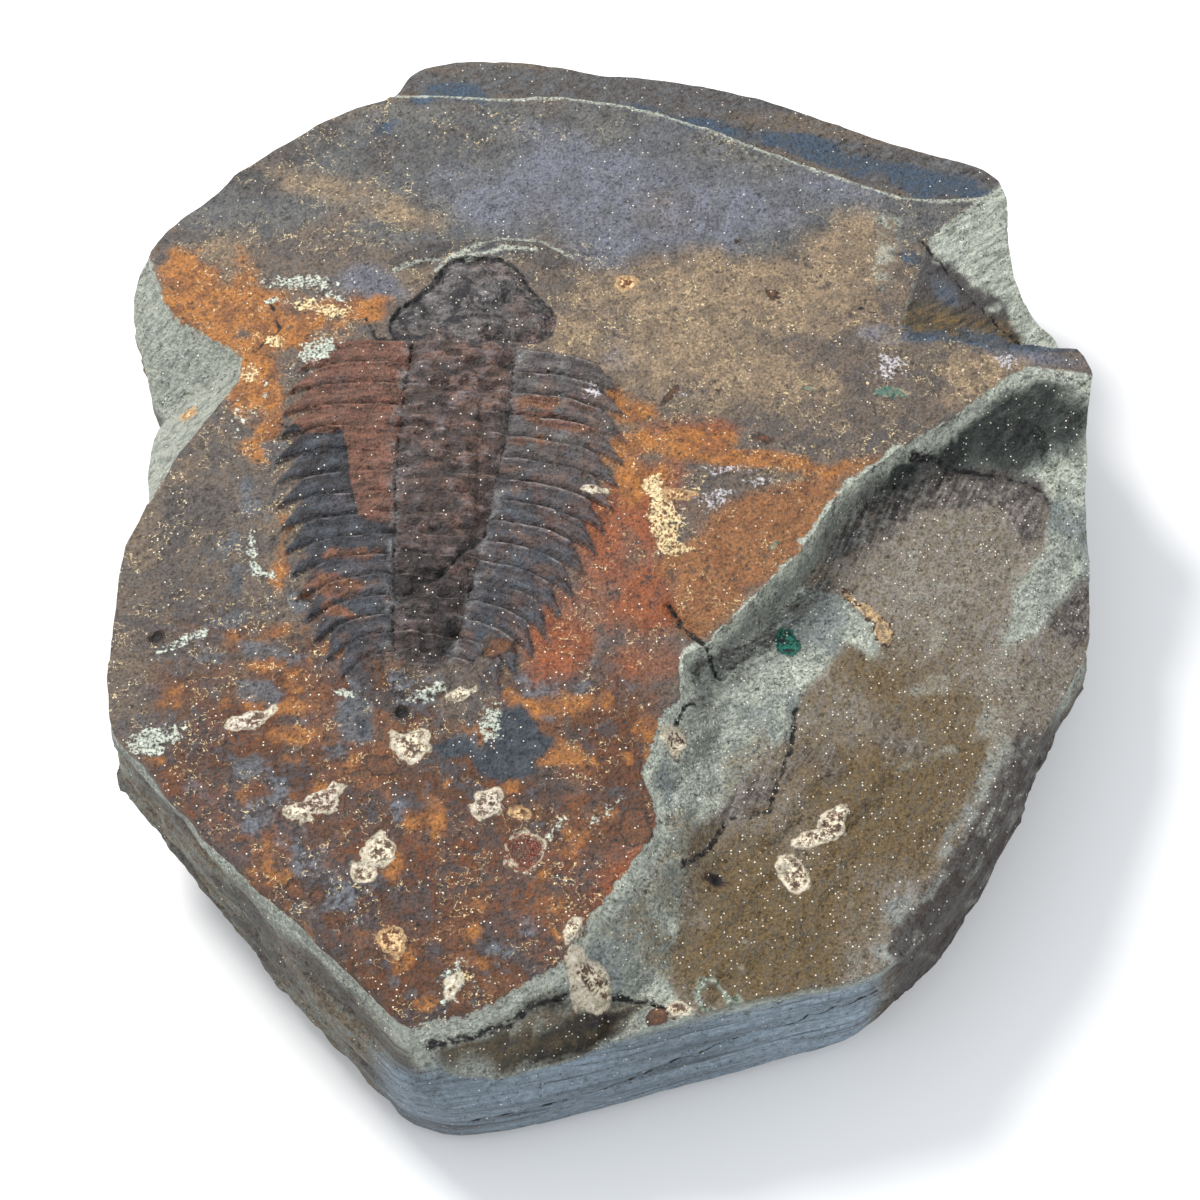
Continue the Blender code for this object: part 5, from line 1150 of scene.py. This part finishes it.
def lowerPaint(x, y, ledge, width):
    patches = crumble(x, y, 7.0, 143, 4)
    fresh = mottledWith("fresh", "freshDark", len(x))
    fresh = paint(fresh, "pale", "fresh", 0.8 * softStep((patches - 0.1) / 0.3))
    fresh = paint(fresh, "freshBlue", "freshDark", 0.8 * softStep((crumble(x, y, 9.0, 147, 4) - 0.1) / 0.3))
    brown = frayed(x, y, "freshBrown", lowerStains["freshBrown"], 6.0, 0.8, 0.25)
    fresh = paint(fresh, "freshBrown", "freshDark", 0.75 * brown)
    steps = plates(x, y)
    fresh = shaded(fresh, 1.0 + 0.55 * (steps - 0.5 * np.floor(2.0 * steps)))
    bed = stained(x, y, mottledWith("lowBrown", "lowViolet", len(x)), lowerCoats, lowerStains)
    onBed = depthIn(x, y, brownBed) + 1.2 * crumble(x, y, 5.0, 151, 4)
    first, last = slab["facetRows"]
    toRim, _ = lineDistance(x, y, [row[:2] for row in slab["rim"][first:last]])
    toRim = toRim + 1.6 * crumble(x, y, 5.0, 211)
    southEast = softStep((-44.0 - y) / 8.0)
    nearRim, patchy = softStep((8.5 - toRim) / 1.5), softStep(0.6 + 1.5 * crumble(x, y, 6.0, 213))
    bed = paint(bed, "haze", "freshBlue", 0.7 * southEast * nearRim * patchy)
    facet = southEast * softStep((5.2 - toRim) / 0.9)
    bed = paint(bed, "edgeDark", "dark", 0.95 * facet)
    bed = paint(bed, "haze", "edgeDark", 0.7 * facet * softStep((streaks(x, y, 52.0, 9.0, 1.1, 197) - 0.32) / 0.14))
    low = join(fresh, bed, softStep((onBed + 0.6) / 1.6))
    share = -ledge / width
    wall = softStep((1.15 - share) / 0.3) * softStep((8.5 - width) / 3.5)
    low = paint(low, "ledgeWall", "freshDark", wall)
    # painted shade in streaks just below the upper edge
    under = softStep(-ledge / 1.5) * softStep((ledge + 10.0) / 5.0)
    under = under * softStep((x - 13.0) / 5.0) * softStep((70.0 - x) / 10.0)
    shadeStreaks = softStep((streaks(x, y, 40.0, 11.0, 1.2, 199) + 0.12) / 0.2)
    low = paint(low, "lowDark", "freshDark", 0.85 * under * shadeStreaks)
    # painted shadow in the hollow under the upper edge, darkest where the bed starts
    dark = frayed(x, y, "ledgeDark", lowerStains["ledgeDark"], 7.0, 0.35, 0.30)
    low = paint(low, "ledgeDark", "lipHalfShadow", 0.97 * dark)
    # a soft painted shadow on the bed beside the arc at the foot of the ledge wall
    arc, _ = lineDistance(x, y, cracks["scoop"][0])
    shadowBesideArc = np.exp(-np.maximum(arc - 0.3, 0.0) / 2.4)
    low = paint(low, "lowDark", "dark", 0.75 * shadowBesideArc * softStep((onBed + 0.5) / 0.8))
    shelf = frayed(x, y, "frontOlive", lowerStains["frontOlive"], 7.0, 0.5, 0.18)
    low = paint(low, "frontOlive", "frontDeep", 0.95 * shelf)
    darkStreaks = softStep((streaks(x, y, 14.0, 16.0, 1.1, 203) - 0.12) / 0.12)
    low = paint(low, "frontDeep", "crevice", 0.8 * shelf * darkStreaks)
    paleStreaks = softStep((streaks(x, y, 14.0, 13.0, 0.9, 207) - 0.3) / 0.12)
    low = paint(low, "pale", "freshBrown", 0.6 * shelf * paleStreaks)
    lip = softStep((0.5 - share + 0.2 * crumble(x, y, 2.0, 153)) / 0.2) * softStep((ledge + 3.0) / 1.5)
    return paint(low, "fresh", "pale", 0.9 * lip), fresh, onBed


def nearestMark(x, y):
    # distance to the nearest mark's edge, negative inside, and the pair of colours there
    best = np.full(len(x), 30.0)
    pair = mottledWith("cream", "tan", len(x))
    gloss = np.zeros(len(x))
    for kind, rows in marks.items():
        d = markDistance(x, y, rows)
        near = d < best
        best = np.where(near, d, best)
        rim, rimSecond, middle, middleSecond = markColours[kind]
        thick = 0.45 if kind != "creamCrust" else 0.4 + 1.2 * softStep(0.4 + 1.6 * crumble(x, y, 3.4, 171))
        own = paint(mottledWith(rim, rimSecond, len(x)), middle, middleSecond, softStep((-d - thick) / 0.5))
        pair = [np.where(near[:, None], new, old) for new, old in zip(own, pair)]
        if kind == "glossyHollow":
            gloss = softStep(-d / 0.5)
    return best, pair, gloss


def surfaceFields(x, y):
    # what the material works from: a few distances, and pairs of colours for each point
    fields = {"headDepth": depthIn(x, y, fossil["head"])}
    ledge, extra = ledgePlace(x, y)
    left, back = leftPlace(x, y), backPlace(x, y)
    darkFace, paleFace, nearSide = bightPlace(x, y)
    bight = slab["upperBed"] - np.maximum(np.maximum(darkFace, paleFace), nearSide)

    upper = mottledWith("brown", "slateBrown", len(x))
    upper = paint(upper, "tanDark", "brown", 0.8 * softStep((crumble(x, y, 13.0, 181, 4) - 0.1) / 0.3))
    # the south end is rusty, in blotches that fade away northwards
    south = stainField(x, y, upperStains["southRust"]) + 0.3 * crumble(x, y, 9.0, 183, 4)
    south = softStep((south - 0.2) / 0.6)
    upper = paint(upper, "southRust", "southPurple", south)
    for name, second, size, seed, level, cover in southBlotches:
        blotch = softStep((crumble(x, y, size, seed, 5) - level) / 0.12)
        upper = paint(upper, name, second, cover * south * blotch)
    upper = stained(x, y, upper, upperCoats, upperStains)
    upper, alongRibs = fossilPaint(x, y, upper, fields)
    lower, fresh, onBed = lowerPaint(x, y, ledge, extra[..., 0])
    # the strip behind the back step, the bight at the back right and the break on the left
    strip = mottledWith("slateBrown", "slateDark", len(x))
    strip = paint(strip, "tanDark", "slateBrown", 0.8 * softStep(0.4 + 1.6 * streaks(x, y, -12.0, 20.0, 3.0, 155)))
    blue = frayed(x, y, "deepBlue", upperStains["deepBlue"], 6.0, 0.5, 0.16)
    strip = paint(strip, "deepBlue", "blueBlack", 0.92 * blue)
    lower = join(lower, strip, softStep(back / 0.8))
    darkSide = mottledWith("slateBrown", "dark", len(x))
    darkSide = paint(darkSide, "oliveDeep", "olive", 0.8 * softStep((52.0 - y) / 6.0))
    blueLow = softStep(0.5 + (nearSide - np.maximum(darkFace, paleFace) + 2.2) / 1.6)
    darkSide = paint(darkSide, "bightBlue", "slateDark", 0.9 * np.maximum(blue * softStep((60.0 - y) / 8.0), blueLow))
    paleSide = paint(fresh, "pale", "fresh", 0.8)
    inBight = join(darkSide, paleSide, softStep((paleFace - darkFace + 0.8 * crumble(x, y, 3.0, 157) + 0.4) / 0.6))
    lower = join(lower, inBight, softStep((bight - 0.1) / 0.4))
    lower = join(lower, mottledWith("pale", "freshDark", len(x)), softStep((left + 0.3) / 0.5))

    # the rim of the flake is chipped pale
    chipped = np.maximum(0.7 + 1.3 * crumble(x, y, 3.4, 215), 0.0)
    chipped = chipped * softStep((x - 13.0) / 2.0) * softStep((66.0 - x) / 8.0)
    toBreaks = np.minimum(ledge - chipped, -left + 0.3)
    fields["bedDistance"] = np.minimum(toBreaks, np.minimum(0.8 - 2.0 * bight, 0.8 - back))
    # a painted highlight along the edge of the back step; the arcs that follow are pale chips on the head's border
    pale = np.abs(back) + np.where(left > -1.0, 9.0, 0.0)
    for line in fossil["paleArcs"]:
        arc, _ = lineDistance(x, y, line)
        pale = np.minimum(pale, arc + 0.25 + 0.5 * crumble(x, y, 5.0, 173))
    fields["paleLine"] = pale
    # painted shade: a dark line in every crack and in the moat round the head; also the shown part of the cover's
    # broken edge
    dark = np.abs(fields["headDepth"] - 0.35) + np.where(y < fossil["headBase"] + 1.0, 9.0, 0.0)
    for line, width, _ in cracks.values():
        d, _ = lineDistance(x, y, line)
        dark = np.minimum(dark, d - 0.3 * width)
    broken, _ = lineDistance(x, y, fossil["coverEdge"][:fossil["coverShown"]])
    dark = np.minimum(dark, np.abs(coverDepth(x, y)) + np.where(broken < 1.5, 0.0, 9.0))
    fields["darkLine"] = dark
    onFossilHere = fields.pop("onFossil")
    # the patches of painted sheen and the blue-black patches get no flecks or chips
    violet = softStep(1.4 * stainField(x, y, upperStains["violet"]))
    even = np.maximum(0.8 * violet, softStep(2.0 * stainField(x, y, upperStains["blueBlack"])))
    fields["calm"] = 1.0 - np.maximum(onFossilHere, even)
    onUpper = softStep(fields["bedDistance"] / 0.5)
    underLedge = softStep((ledge + 14.0) / 6.0) * softStep((x - 24.0) / 8.0)
    fields["grainy"] = 1.0 - 0.45 * np.maximum(softStep(left / 1.0), softStep((bight - 0.1) / 0.4))
    fields["streaky"] = np.where(onFossilHere > 0.3, 1.1, 0.7 - 0.45 * onUpper + 0.5 * underLedge * (1.0 - onUpper))
    belowLedge, onHead = softStep(-ledge / 3.0), softStep(fields["headDepth"] / 2.0)
    southward = softStep((-10.0 - y) / 40.0)
    fields["micaRich"] = np.clip(0.35 * belowLedge + 0.3 * onHead + 0.2 * southward, 0.0, 1.0)
    fields["crisp"] = np.zeros(len(x))
    crisp = mottledWith("pale", "freshDark", len(x))
    for name, first, second, strength in crispCoats:
        stain = strength * stainField(x, y, upperStains[name])
        stronger = (stain > fields["crisp"])[:, None]
        crisp = [np.where(stronger, stone[key], old) for key, old in zip((first, second), crisp)]
        fields["crisp"] = np.maximum(fields["crisp"], stain)
    rings = {name: np.abs(markDistance(x, y, [row])) for name, row in ringsOnly.items()}
    fields["markDistance"], markPair, fields["gloss"] = nearestMark(x, y)
    brownRings = np.minimum(rings["narrow"], rings["small"])
    fields["outline"] = np.minimum(np.abs(fields["markDistance"] - 0.1), brownRings + 0.1)
    lower = paint(lower, "faintGreen", "fresh", 0.7 * softStep((0.9 - rings["green"]) / 0.5))

    # which way the fine streaks run: across the upper bed, down the lower bed, along the ribs
    def run(angle, stretch, size):
        c, s = math.cos(math.radians(angle)), math.sin(math.radians(angle))
        return np.stack([(x * c + y * s) * stretch / size, (y * c - x * s) / size, np.full(len(x), 10.0)], axis=1)

    along = np.where((fields["bedDistance"] > 0.0)[:, None], run(32.0, 0.14, 1.3), run(38.0, 0.22, 1.2))
    along = np.where(((onBed > 0.0) & (ledge < 0.0))[:, None], run(64.0, 0.14, 1.1), along)
    along = np.where((fields["calm"] < 0.15)[:, None], alongRibs, along)
    return fields, {"upper": upper, "lower": lower, "mark": markPair, "crisp": crisp}, along


# Mottling that the material makes: size in mm, detail
grains = {"large": (9.0, 2.0), "medium": (4.0, 3.0), "small": (1.6, 2.0), "fine": (0.6, 2.0)}


class Recipe:
    # lays shader nodes out one after another, so the finish reads as a list of coats

    def __init__(self, material):
        self.tree = material.node_tree
        self.made = 0
        self.kept = {}
        place = self.node("ShaderNodeTexCoord").outputs["Object"]
        self.place = self.vector("SCALE", place, scale=1.0 / mm)

    def node(self, kind):
        made = self.tree.nodes.new(kind)
        made.location = (220 * (self.made % 14), -180 * (self.made // 14))
        self.made += 1
        return made

    def feed(self, socket, value):
        if isinstance(value, bpy.types.NodeSocket):
            self.tree.links.new(value, socket)
        elif isinstance(value, str):
            socket.default_value = (*stone[value], 1.0)
        else:
            socket.default_value = value

    def vector(self, operation, a, b=None, scale=None):
        made = self.node("ShaderNodeVectorMath")
        made.operation = operation
        self.feed(made.inputs[0], a)
        if b is not None:
            self.feed(made.inputs[1], b)
        if scale is not None:
            self.feed(made.inputs["Scale"], scale)
        return made.outputs[0]

    def math(self, operation, *values, clamp=False):
        made = self.node("ShaderNodeMath")
        made.operation = operation
        made.use_clamp = clamp
        for socket, value in zip(made.inputs, values):
            self.feed(socket, value)
        return made.outputs[0]

    def times(self, *values):
        total = values[0]
        for value in values[1:]:
            total = self.math("MULTIPLY", total, value)
        return total

    def more(self, *values):
        total = values[0]
        for value in values[1:]:
            total = self.math("ADD", total, value)
        return total

    def step(self, value, low, high, end=1.0):
        # 0 at low, end at high; low may be the larger one
        k = end / (high - low)
        return self.math("MULTIPLY_ADD", value, k, -low * k, clamp=True)

    def field(self, name, output="Fac"):
        if name not in self.kept:
            made = self.node("ShaderNodeAttribute")
            made.attribute_name = name
            self.kept[name] = made.outputs[output]
        return self.kept[name]

    def noise(self, place, scale, detail):
        made = self.node("ShaderNodeTexNoise")
        self.feed(made.inputs["Vector"], place)
        made.inputs["Scale"].default_value = scale
        made.inputs["Detail"].default_value = detail
        made.inputs["Roughness"].default_value = 0.66
        return made.outputs["Fac"]

    def grain(self, name):
        # mottling, made once and then shared; "streak" runs the way that each point says
        if name not in self.kept:
            if name == "streak":
                self.kept[name] = self.noise(self.field("along", "Vector"), 1.0, 3.0)
            else:
                size, detail = grains[name]
                self.kept[name] = self.noise(self.place, 1.0 / size, detail)
        return self.kept[name]

    def where(self, name, low, high, end=1.0):
        return self.step(self.grain(name), low, high, end)

    def swing(self, name, amount):
        # the same mottling as a swing about zero
        return self.math("MULTIPLY_ADD", self.grain(name), amount, -0.5 * amount)

    def coat(self, below, colour, amount):
        made = self.node("ShaderNodeMix")
        made.data_type = "RGBA"
        made.clamp_factor = True
        self.feed(made.inputs["Factor"], amount)
        # the mix node's colour sockets: 6 and 7 go in, 2 comes out
        self.feed(made.inputs[6], below)
        self.feed(made.inputs[7], colour)
        return made.outputs[2]

    def pair(self, name, amount):
        return self.coat(self.field(name + "Colour", "Color"), self.field(name + "Second", "Color"), amount)

    def ramp(self, value, stops):
        # each stop is a place, a colour and how well it covers there
        made = self.node("ShaderNodeValToRGB")
        self.feed(made.inputs["Fac"], value)
        while len(made.color_ramp.elements) < len(stops):
            made.color_ramp.elements.new(0.5)
        for element, (place, name, cover) in zip(made.color_ramp.elements, stops):
            element.position = place
            element.color = (*stone[name], cover)
        return made.outputs["Color"], made.outputs["Alpha"]


def stoneMaterial():
    material = bpy.data.materials.new("weatheredSlate")
    material.use_nodes = True
    shader = material.node_tree.nodes["Principled BSDF"]
    recipe = Recipe(material)
    fray = recipe.more(recipe.swing("fine", 1.4), recipe.swing("small", 2.2))
    mottling = recipe.more(recipe.grain("medium"), recipe.swing("small", 0.8))

    # upper bed, with flecks and thin pale chips and scratches that wander over it
    colour = recipe.pair("upper", recipe.step(mottling, 0.42, 0.62))
    calm = recipe.field("calm")
    for name, grain, low, high, cover in flecks:
        colour = recipe.coat(colour, name, recipe.times(recipe.where(grain, low, high, cover), calm))
    off = recipe.math("ABSOLUTE", recipe.swing("medium", 1.0))
    chips = recipe.times(
        recipe.step(off, 0.011, 0.004), recipe.where("large", 0.47, 0.55), recipe.where("fine", 0.42, 0.56), calm,
    )
    colour = recipe.coat(colour, "yellow", chips)
    crisp = recipe.pair("crisp", recipe.where("fine", 0.50, 0.40))
    edge = recipe.more(recipe.field("crisp"), recipe.times(fray, 0.6))
    colour = recipe.coat(colour, crisp, recipe.step(edge, 0.45, 0.62, 0.85))
    # painted highlights on the ribs' crests, and painted shade in the furrows between the ribs and between the axis
    # rings
    line, cover = recipe.ramp(recipe.math("FRACT", recipe.field("lineNumber")), ribLines)
    shown = recipe.times(cover, recipe.where("streak", 0.36, 0.54), recipe.field("lineShare"))
    colour = recipe.coat(colour, line, shown)

    # broken stone and the lower bed, with fine black cracks
    broad = recipe.more(recipe.grain("streak"), recipe.swing("small", 0.7))
    low = recipe.pair("lower", recipe.step(broad, 0.42, 0.62))
    veins = recipe.times(recipe.step(off, 0.014, 0.004, 0.85), recipe.where("small", 0.44, 0.54))
    low = recipe.coat(low, "dark", veins)
    colour = recipe.coat(colour, low, recipe.step(recipe.more(recipe.field("bedDistance"), fray), 0.15, -0.15))

    # thin pale lines: chips on the head's border and a painted highlight along the back step's edge; thin dark lines:
    # painted shade in the cracks and round the head, and the cover's broken edge
    wander = recipe.swing("small", 1.4)
    pale = recipe.more(recipe.field("paleLine"), wander)
    colour = recipe.coat(colour, "pale", recipe.times(recipe.step(pale, 0.9, 0.3), recipe.where("fine", 0.34, 0.50)))
    dark = recipe.more(recipe.math("ABSOLUTE", recipe.field("darkLine")), wander)
    shown = recipe.times(recipe.step(dark, 0.35, 0.05), recipe.where("medium", 0.30, 0.42))
    colour = recipe.coat(colour, "crevice", shown)

    # crusts, rings, spots and pits
    mark = recipe.more(recipe.field("markDistance"), recipe.times(fray, 0.8))
    speckle = recipe.more(recipe.grain("small"), recipe.swing("fine", 0.7))
    crust = recipe.pair("mark", recipe.step(speckle, 0.46, 0.58))
    colour = recipe.coat(colour, crust, recipe.step(mark, 0.1, -0.25))
    outline = recipe.more(recipe.field("outline"), recipe.times(fray, 0.25))
    shown = recipe.times(recipe.step(outline, 0.30, 0.06, 0.7), recipe.where("medium", 0.38, 0.56))
    colour = recipe.coat(colour, "markBrown", shown)

    # a fine light and dark texture over everything
    texture = recipe.more(recipe.swing("fine", 2.5), recipe.swing("small", 1.9))
    light = recipe.math("MULTIPLY_ADD", texture, recipe.field("grainy"), 1.0)
    light = recipe.math("MULTIPLY_ADD", recipe.swing("streak", 2.4), recipe.field("streaky"), light)
    colour = recipe.vector("SCALE", colour, scale=recipe.math("MAXIMUM", light, 0.15))

    # mica flakes: their own pale colour, brightened into painted glints, and smoother
    flakes = recipe.node("ShaderNodeTexVoronoi")
    flakes.feature = "F1"
    recipe.feed(flakes.inputs["Vector"], recipe.place)
    flakes.inputs["Scale"].default_value = 1.0 / stone["micaSize"]
    pick = recipe.node("ShaderNodeSeparateColor")
    recipe.feed(pick.inputs["Color"], flakes.outputs["Color"])
    chosen = recipe.step(recipe.more(pick.outputs["Red"], recipe.times(recipe.field("micaRich"), 0.12)), 0.972, 0.978)
    micaAndGlint = recipe.times(recipe.step(flakes.outputs["Distance"], 0.36, 0.20, 0.8), chosen)
    colour = recipe.coat(colour, "micaAndGlint", micaAndGlint)
    recipe.feed(shader.inputs["Base Color"], colour)

    roughness = recipe.math("MULTIPLY_ADD", recipe.grain("fine"), 0.6, stone["roughness"] - 0.3)
    smooth = recipe.times(recipe.more(recipe.field("gloss"), micaAndGlint), 0.45)
    recipe.feed(shader.inputs["Roughness"], recipe.math("SUBTRACT", roughness, smooth, clamp=True))
    shader.inputs["Specular IOR Level"].default_value = stone["shine"]
    height = recipe.more(recipe.times(recipe.grain("small"), 1.1), recipe.times(recipe.grain("fine"), 0.6))
    bump = recipe.node("ShaderNodeBump")
    bump.inputs["Strength"].default_value = stone["bump"]
    bump.inputs["Distance"].default_value = 1.0 * mm
    recipe.feed(bump.inputs["Height"], height)
    recipe.feed(shader.inputs["Normal"], bump.outputs["Normal"])
    print("stone material:", recipe.made, "nodes")
    return material


def sideSurface(rim, rimHeight, ring, band):
    # colours of one ring of the sides: fresh stone under the rim, browner below, the blue-grey band in front
    x, _, z = ring.T
    length = len(x)
    below = rimHeight - z
    arc = lengthAlong(rim)
    low = softStep((below + 2.5 * waves(arc, z, 9.0, 161) - 3.5) / 3.0)
    pair = paint(mottledWith("fresh", "freshDark", length), "sideBrown", "freshDark", low)
    pair = paint(pair, "slateBrown", "dark", 0.7 * low * softStep(0.3 + 1.5 * waves(arc, z * 3.0, 11.0, 163)))
    front = band * softStep((sides["bandTop"] + 5.0 - z) / 3.0)
    pair = paint(pair, "band", "bandDark", front)
    frontLeft = softStep((-16.0 - x) / 14.0)
    pair = paint(pair, "slateBrown", "bandDark", 0.7 * front * frontLeft * softStep((14.0 - z) / 6.0))
    light = 1.0 + front * (0.3 * waves(0.12 * arc, z, 3.2, 169) + 0.3 * softStep((x - 12.0) / 24.0))
    pair = shaded(pair, light)
    crack = np.where((band > 0.3) & (rim[:, 0] > -26.0), z - bandCrackHeight(rim[:, 0]), 9.0)
    facet = softStep((rim[:, 0] - 50.0) / 6.0) * softStep((-36.0 - rim[:, 1]) / 10.0)
    pair = paint(pair, "edgeDark", "dark", 0.95 * facet)
    scratches = softStep((waves(arc + 0.7 * z, 0.15 * z, 1.7, 165) - 0.35) / 0.15)
    scratches = scratches * softStep(0.6 + waves(arc, z, 9.0, 167))
    pair = paint(pair, "haze", "edgeDark", 0.7 * facet * scratches)
    along = np.stack([arc * 0.03, z / 1.1, np.full(length, 30.0)], axis=1)
    return pair, crack, along


def storeOnPoints(data, fields, pairs, along):
    # hands the fields and colours to the material as attributes of the mesh
    for name, values in fields.items():
        data.attributes.new(name, "FLOAT", "POINT").data.foreach_set("value", values.astype(np.float32))
    streak = data.attributes.new("along", "FLOAT_VECTOR", "POINT")
    streak.data.foreach_set("vector", along.astype(np.float32).ravel())
    for name, both in pairs.items():
        for kind, colours in zip(("Colour", "Second"), both):
            colours = np.column_stack([colours, np.ones(len(colours))]).astype(np.float32)
            data.attributes.new(name + kind, "FLOAT_COLOR", "POINT").data.foreach_set("color", colours.ravel())


def makeSlab():
    rim = roundedRim(mesh["rim"])
    count = len(rim)
    xy, faces = buildTop(rim)
    print("upper side:", len(xy), "points,", len(faces), "triangles")
    topZ = topHeight(xy[:, 0], xy[:, 1])
    points = np.column_stack([xy, topZ])
    fields, pairs, along = surfaceFields(xy[:, 0], xy[:, 1])
    rimFields, rimPairs, _ = surfaceFields(rim[:, 0], rim[:, 1])
    rings, band = wallRings(rim, topZ[:count])
    above = np.arange(count)
    following = np.roll(above, -1)
    for ring in rings:
        here = len(points) + np.arange(count)
        points = np.vstack([points, ring])
        faces += np.column_stack([above, here, here[following], above[following]]).tolist()
        above = here
        sidePair, crack, sideAlong = sideSurface(rim, topZ[:count], ring, band)
        own = dict(rimFields, bedDistance=ring[:, 2] - topZ[:count], paleLine=np.full(count, 9.0), darkLine=crack)
        own["markDistance"] = rimFields["markDistance"] + (topZ[:count] - ring[:, 2])
        own["outline"] = rimFields["outline"] + (topZ[:count] - ring[:, 2])
        own.update(streaky=0.9 + 0.9 * band, grainy=1.0 - 0.65 * band, micaRich=np.zeros(count))
        fields = {name: np.concatenate([fields[name], own[name]]) for name in fields}
        ringPairs = dict(rimPairs, lower=sidePair)
        pairs = {name: [np.vstack(both) for both in zip(pairs[name], ringPairs[name])] for name in pairs}
        along = np.vstack([along, sideAlong])
    base = delaunay_2d_cdt([Vector(points[k, :2]) for k in above], [], [list(range(count))], 1, 1e-5)
    baseId = {new: int(above[old[0]]) for new, old in enumerate(base[3])}
    faces += [[baseId[k] for k in reversed(face)] for face in base[2]]
    print("whole slab:", len(points), "points,", sum(len(face) - 2 for face in faces), "triangles")
    low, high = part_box("fossil_slab")
    middle = (points.min(axis=0) + points.max(axis=0)) / 2
    points[:, 0] += (low[0] + high[0]) / 2 / mm - middle[0]
    points[:, 1] += (low[1] + high[1]) / 2 / mm - middle[1]

    data = bpy.data.meshes.new("trilobiteSlab")
    data.from_pydata((points * mm).tolist(), [], faces)
    data.validate()
    storeOnPoints(data, fields, pairs, along)
    data.shade_smooth()
    data.set_sharp_from_angle(angle=math.radians(50.0))
    slabPiece = bpy.data.objects.new("trilobiteSlab", data)
    bpy.context.scene.collection.objects.link(slabPiece)
    data.materials.append(stoneMaterial())
    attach(slabPiece, "root")
    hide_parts("fossil_slab")
    return slabPiece


# The studio
studio = {
    "target": (-0.001, -0.0113, 0.022),
    "distance": 0.575,
    "elevation": 58.0,
    "lens": 85.0,
    "floorColour": (0.80, 0.80, 0.80, 1.0),
    "skyColour": (0.93, 0.96, 1.0, 1.0),
    "skyStrength": 1.0,
    "floorHalf": 3.0,
    "floorLevel": -0.0002,  # just under the stone
    "floorRoughness": 0.9,
    "sensor": 36.0,
    # name: place, size, watts, colour
    "lights": {
        "keyLight": ((-0.46, 0.44, 0.74), 0.32, 10.5, (1.0, 0.98, 0.95)),
        "fillLight": ((0.30, -0.75, 0.75), 0.9, 2.0, (0.95, 0.98, 1.0)),
    },
}


def makeStudio():
    scene = bpy.context.scene
    floorData = bpy.data.meshes.new("studioFloor")
    half = studio["floorHalf"]
    corners = [(-half, -half, 0), (half, -half, 0), (half, half, 0), (-half, half, 0)]
    floorData.from_pydata(corners, [], [(0, 1, 2, 3)])
    floor = bpy.data.objects.new("studioFloor", floorData)
    floor.location.z = studio["floorLevel"]
    scene.collection.objects.link(floor)
    pale = bpy.data.materials.new("paleFloor")
    pale.use_nodes = True
    shader = pale.node_tree.nodes["Principled BSDF"]
    shader.inputs["Base Color"].default_value = studio["floorColour"]
    shader.inputs["Roughness"].default_value = studio["floorRoughness"]
    floorData.materials.append(pale)

    world = bpy.data.worlds.new("softSky")
    world.use_nodes = True
    sky = world.node_tree.nodes["Background"]
    sky.inputs["Color"].default_value = studio["skyColour"]
    sky.inputs["Strength"].default_value = studio["skyStrength"]
    scene.world = world

    target = Vector(studio["target"])
    for name, (place, size, watts, colour) in studio["lights"].items():
        lamp = bpy.data.lights.new(name, "AREA")
        lamp.shape = "DISK"
        lamp.size = size
        lamp.energy = watts
        lamp.color = colour
        lampObject = bpy.data.objects.new(name, lamp)
        lampObject.location = place
        lampObject.rotation_euler = (target - Vector(place)).to_track_quat("-Z", "Y").to_euler()
        scene.collection.objects.link(lampObject)

    lens = bpy.data.cameras.new("viewer")
    lens.lens = studio["lens"]
    lens.sensor_width = studio["sensor"]
    viewer = bpy.data.objects.new("viewer", lens)
    up = math.radians(studio["elevation"])
    viewer.location = target + studio["distance"] * Vector((0.0, -math.cos(up), math.sin(up)))
    viewer.rotation_euler = (math.radians(90.0) - up, 0.0, 0.0)
    scene.collection.objects.link(viewer)
    scene.camera = viewer
    scene.view_settings.view_transform = "Standard"
    print("studio: floor,", len(studio["lights"]), "lights and the camera")


makeSlab()
makeStudio()
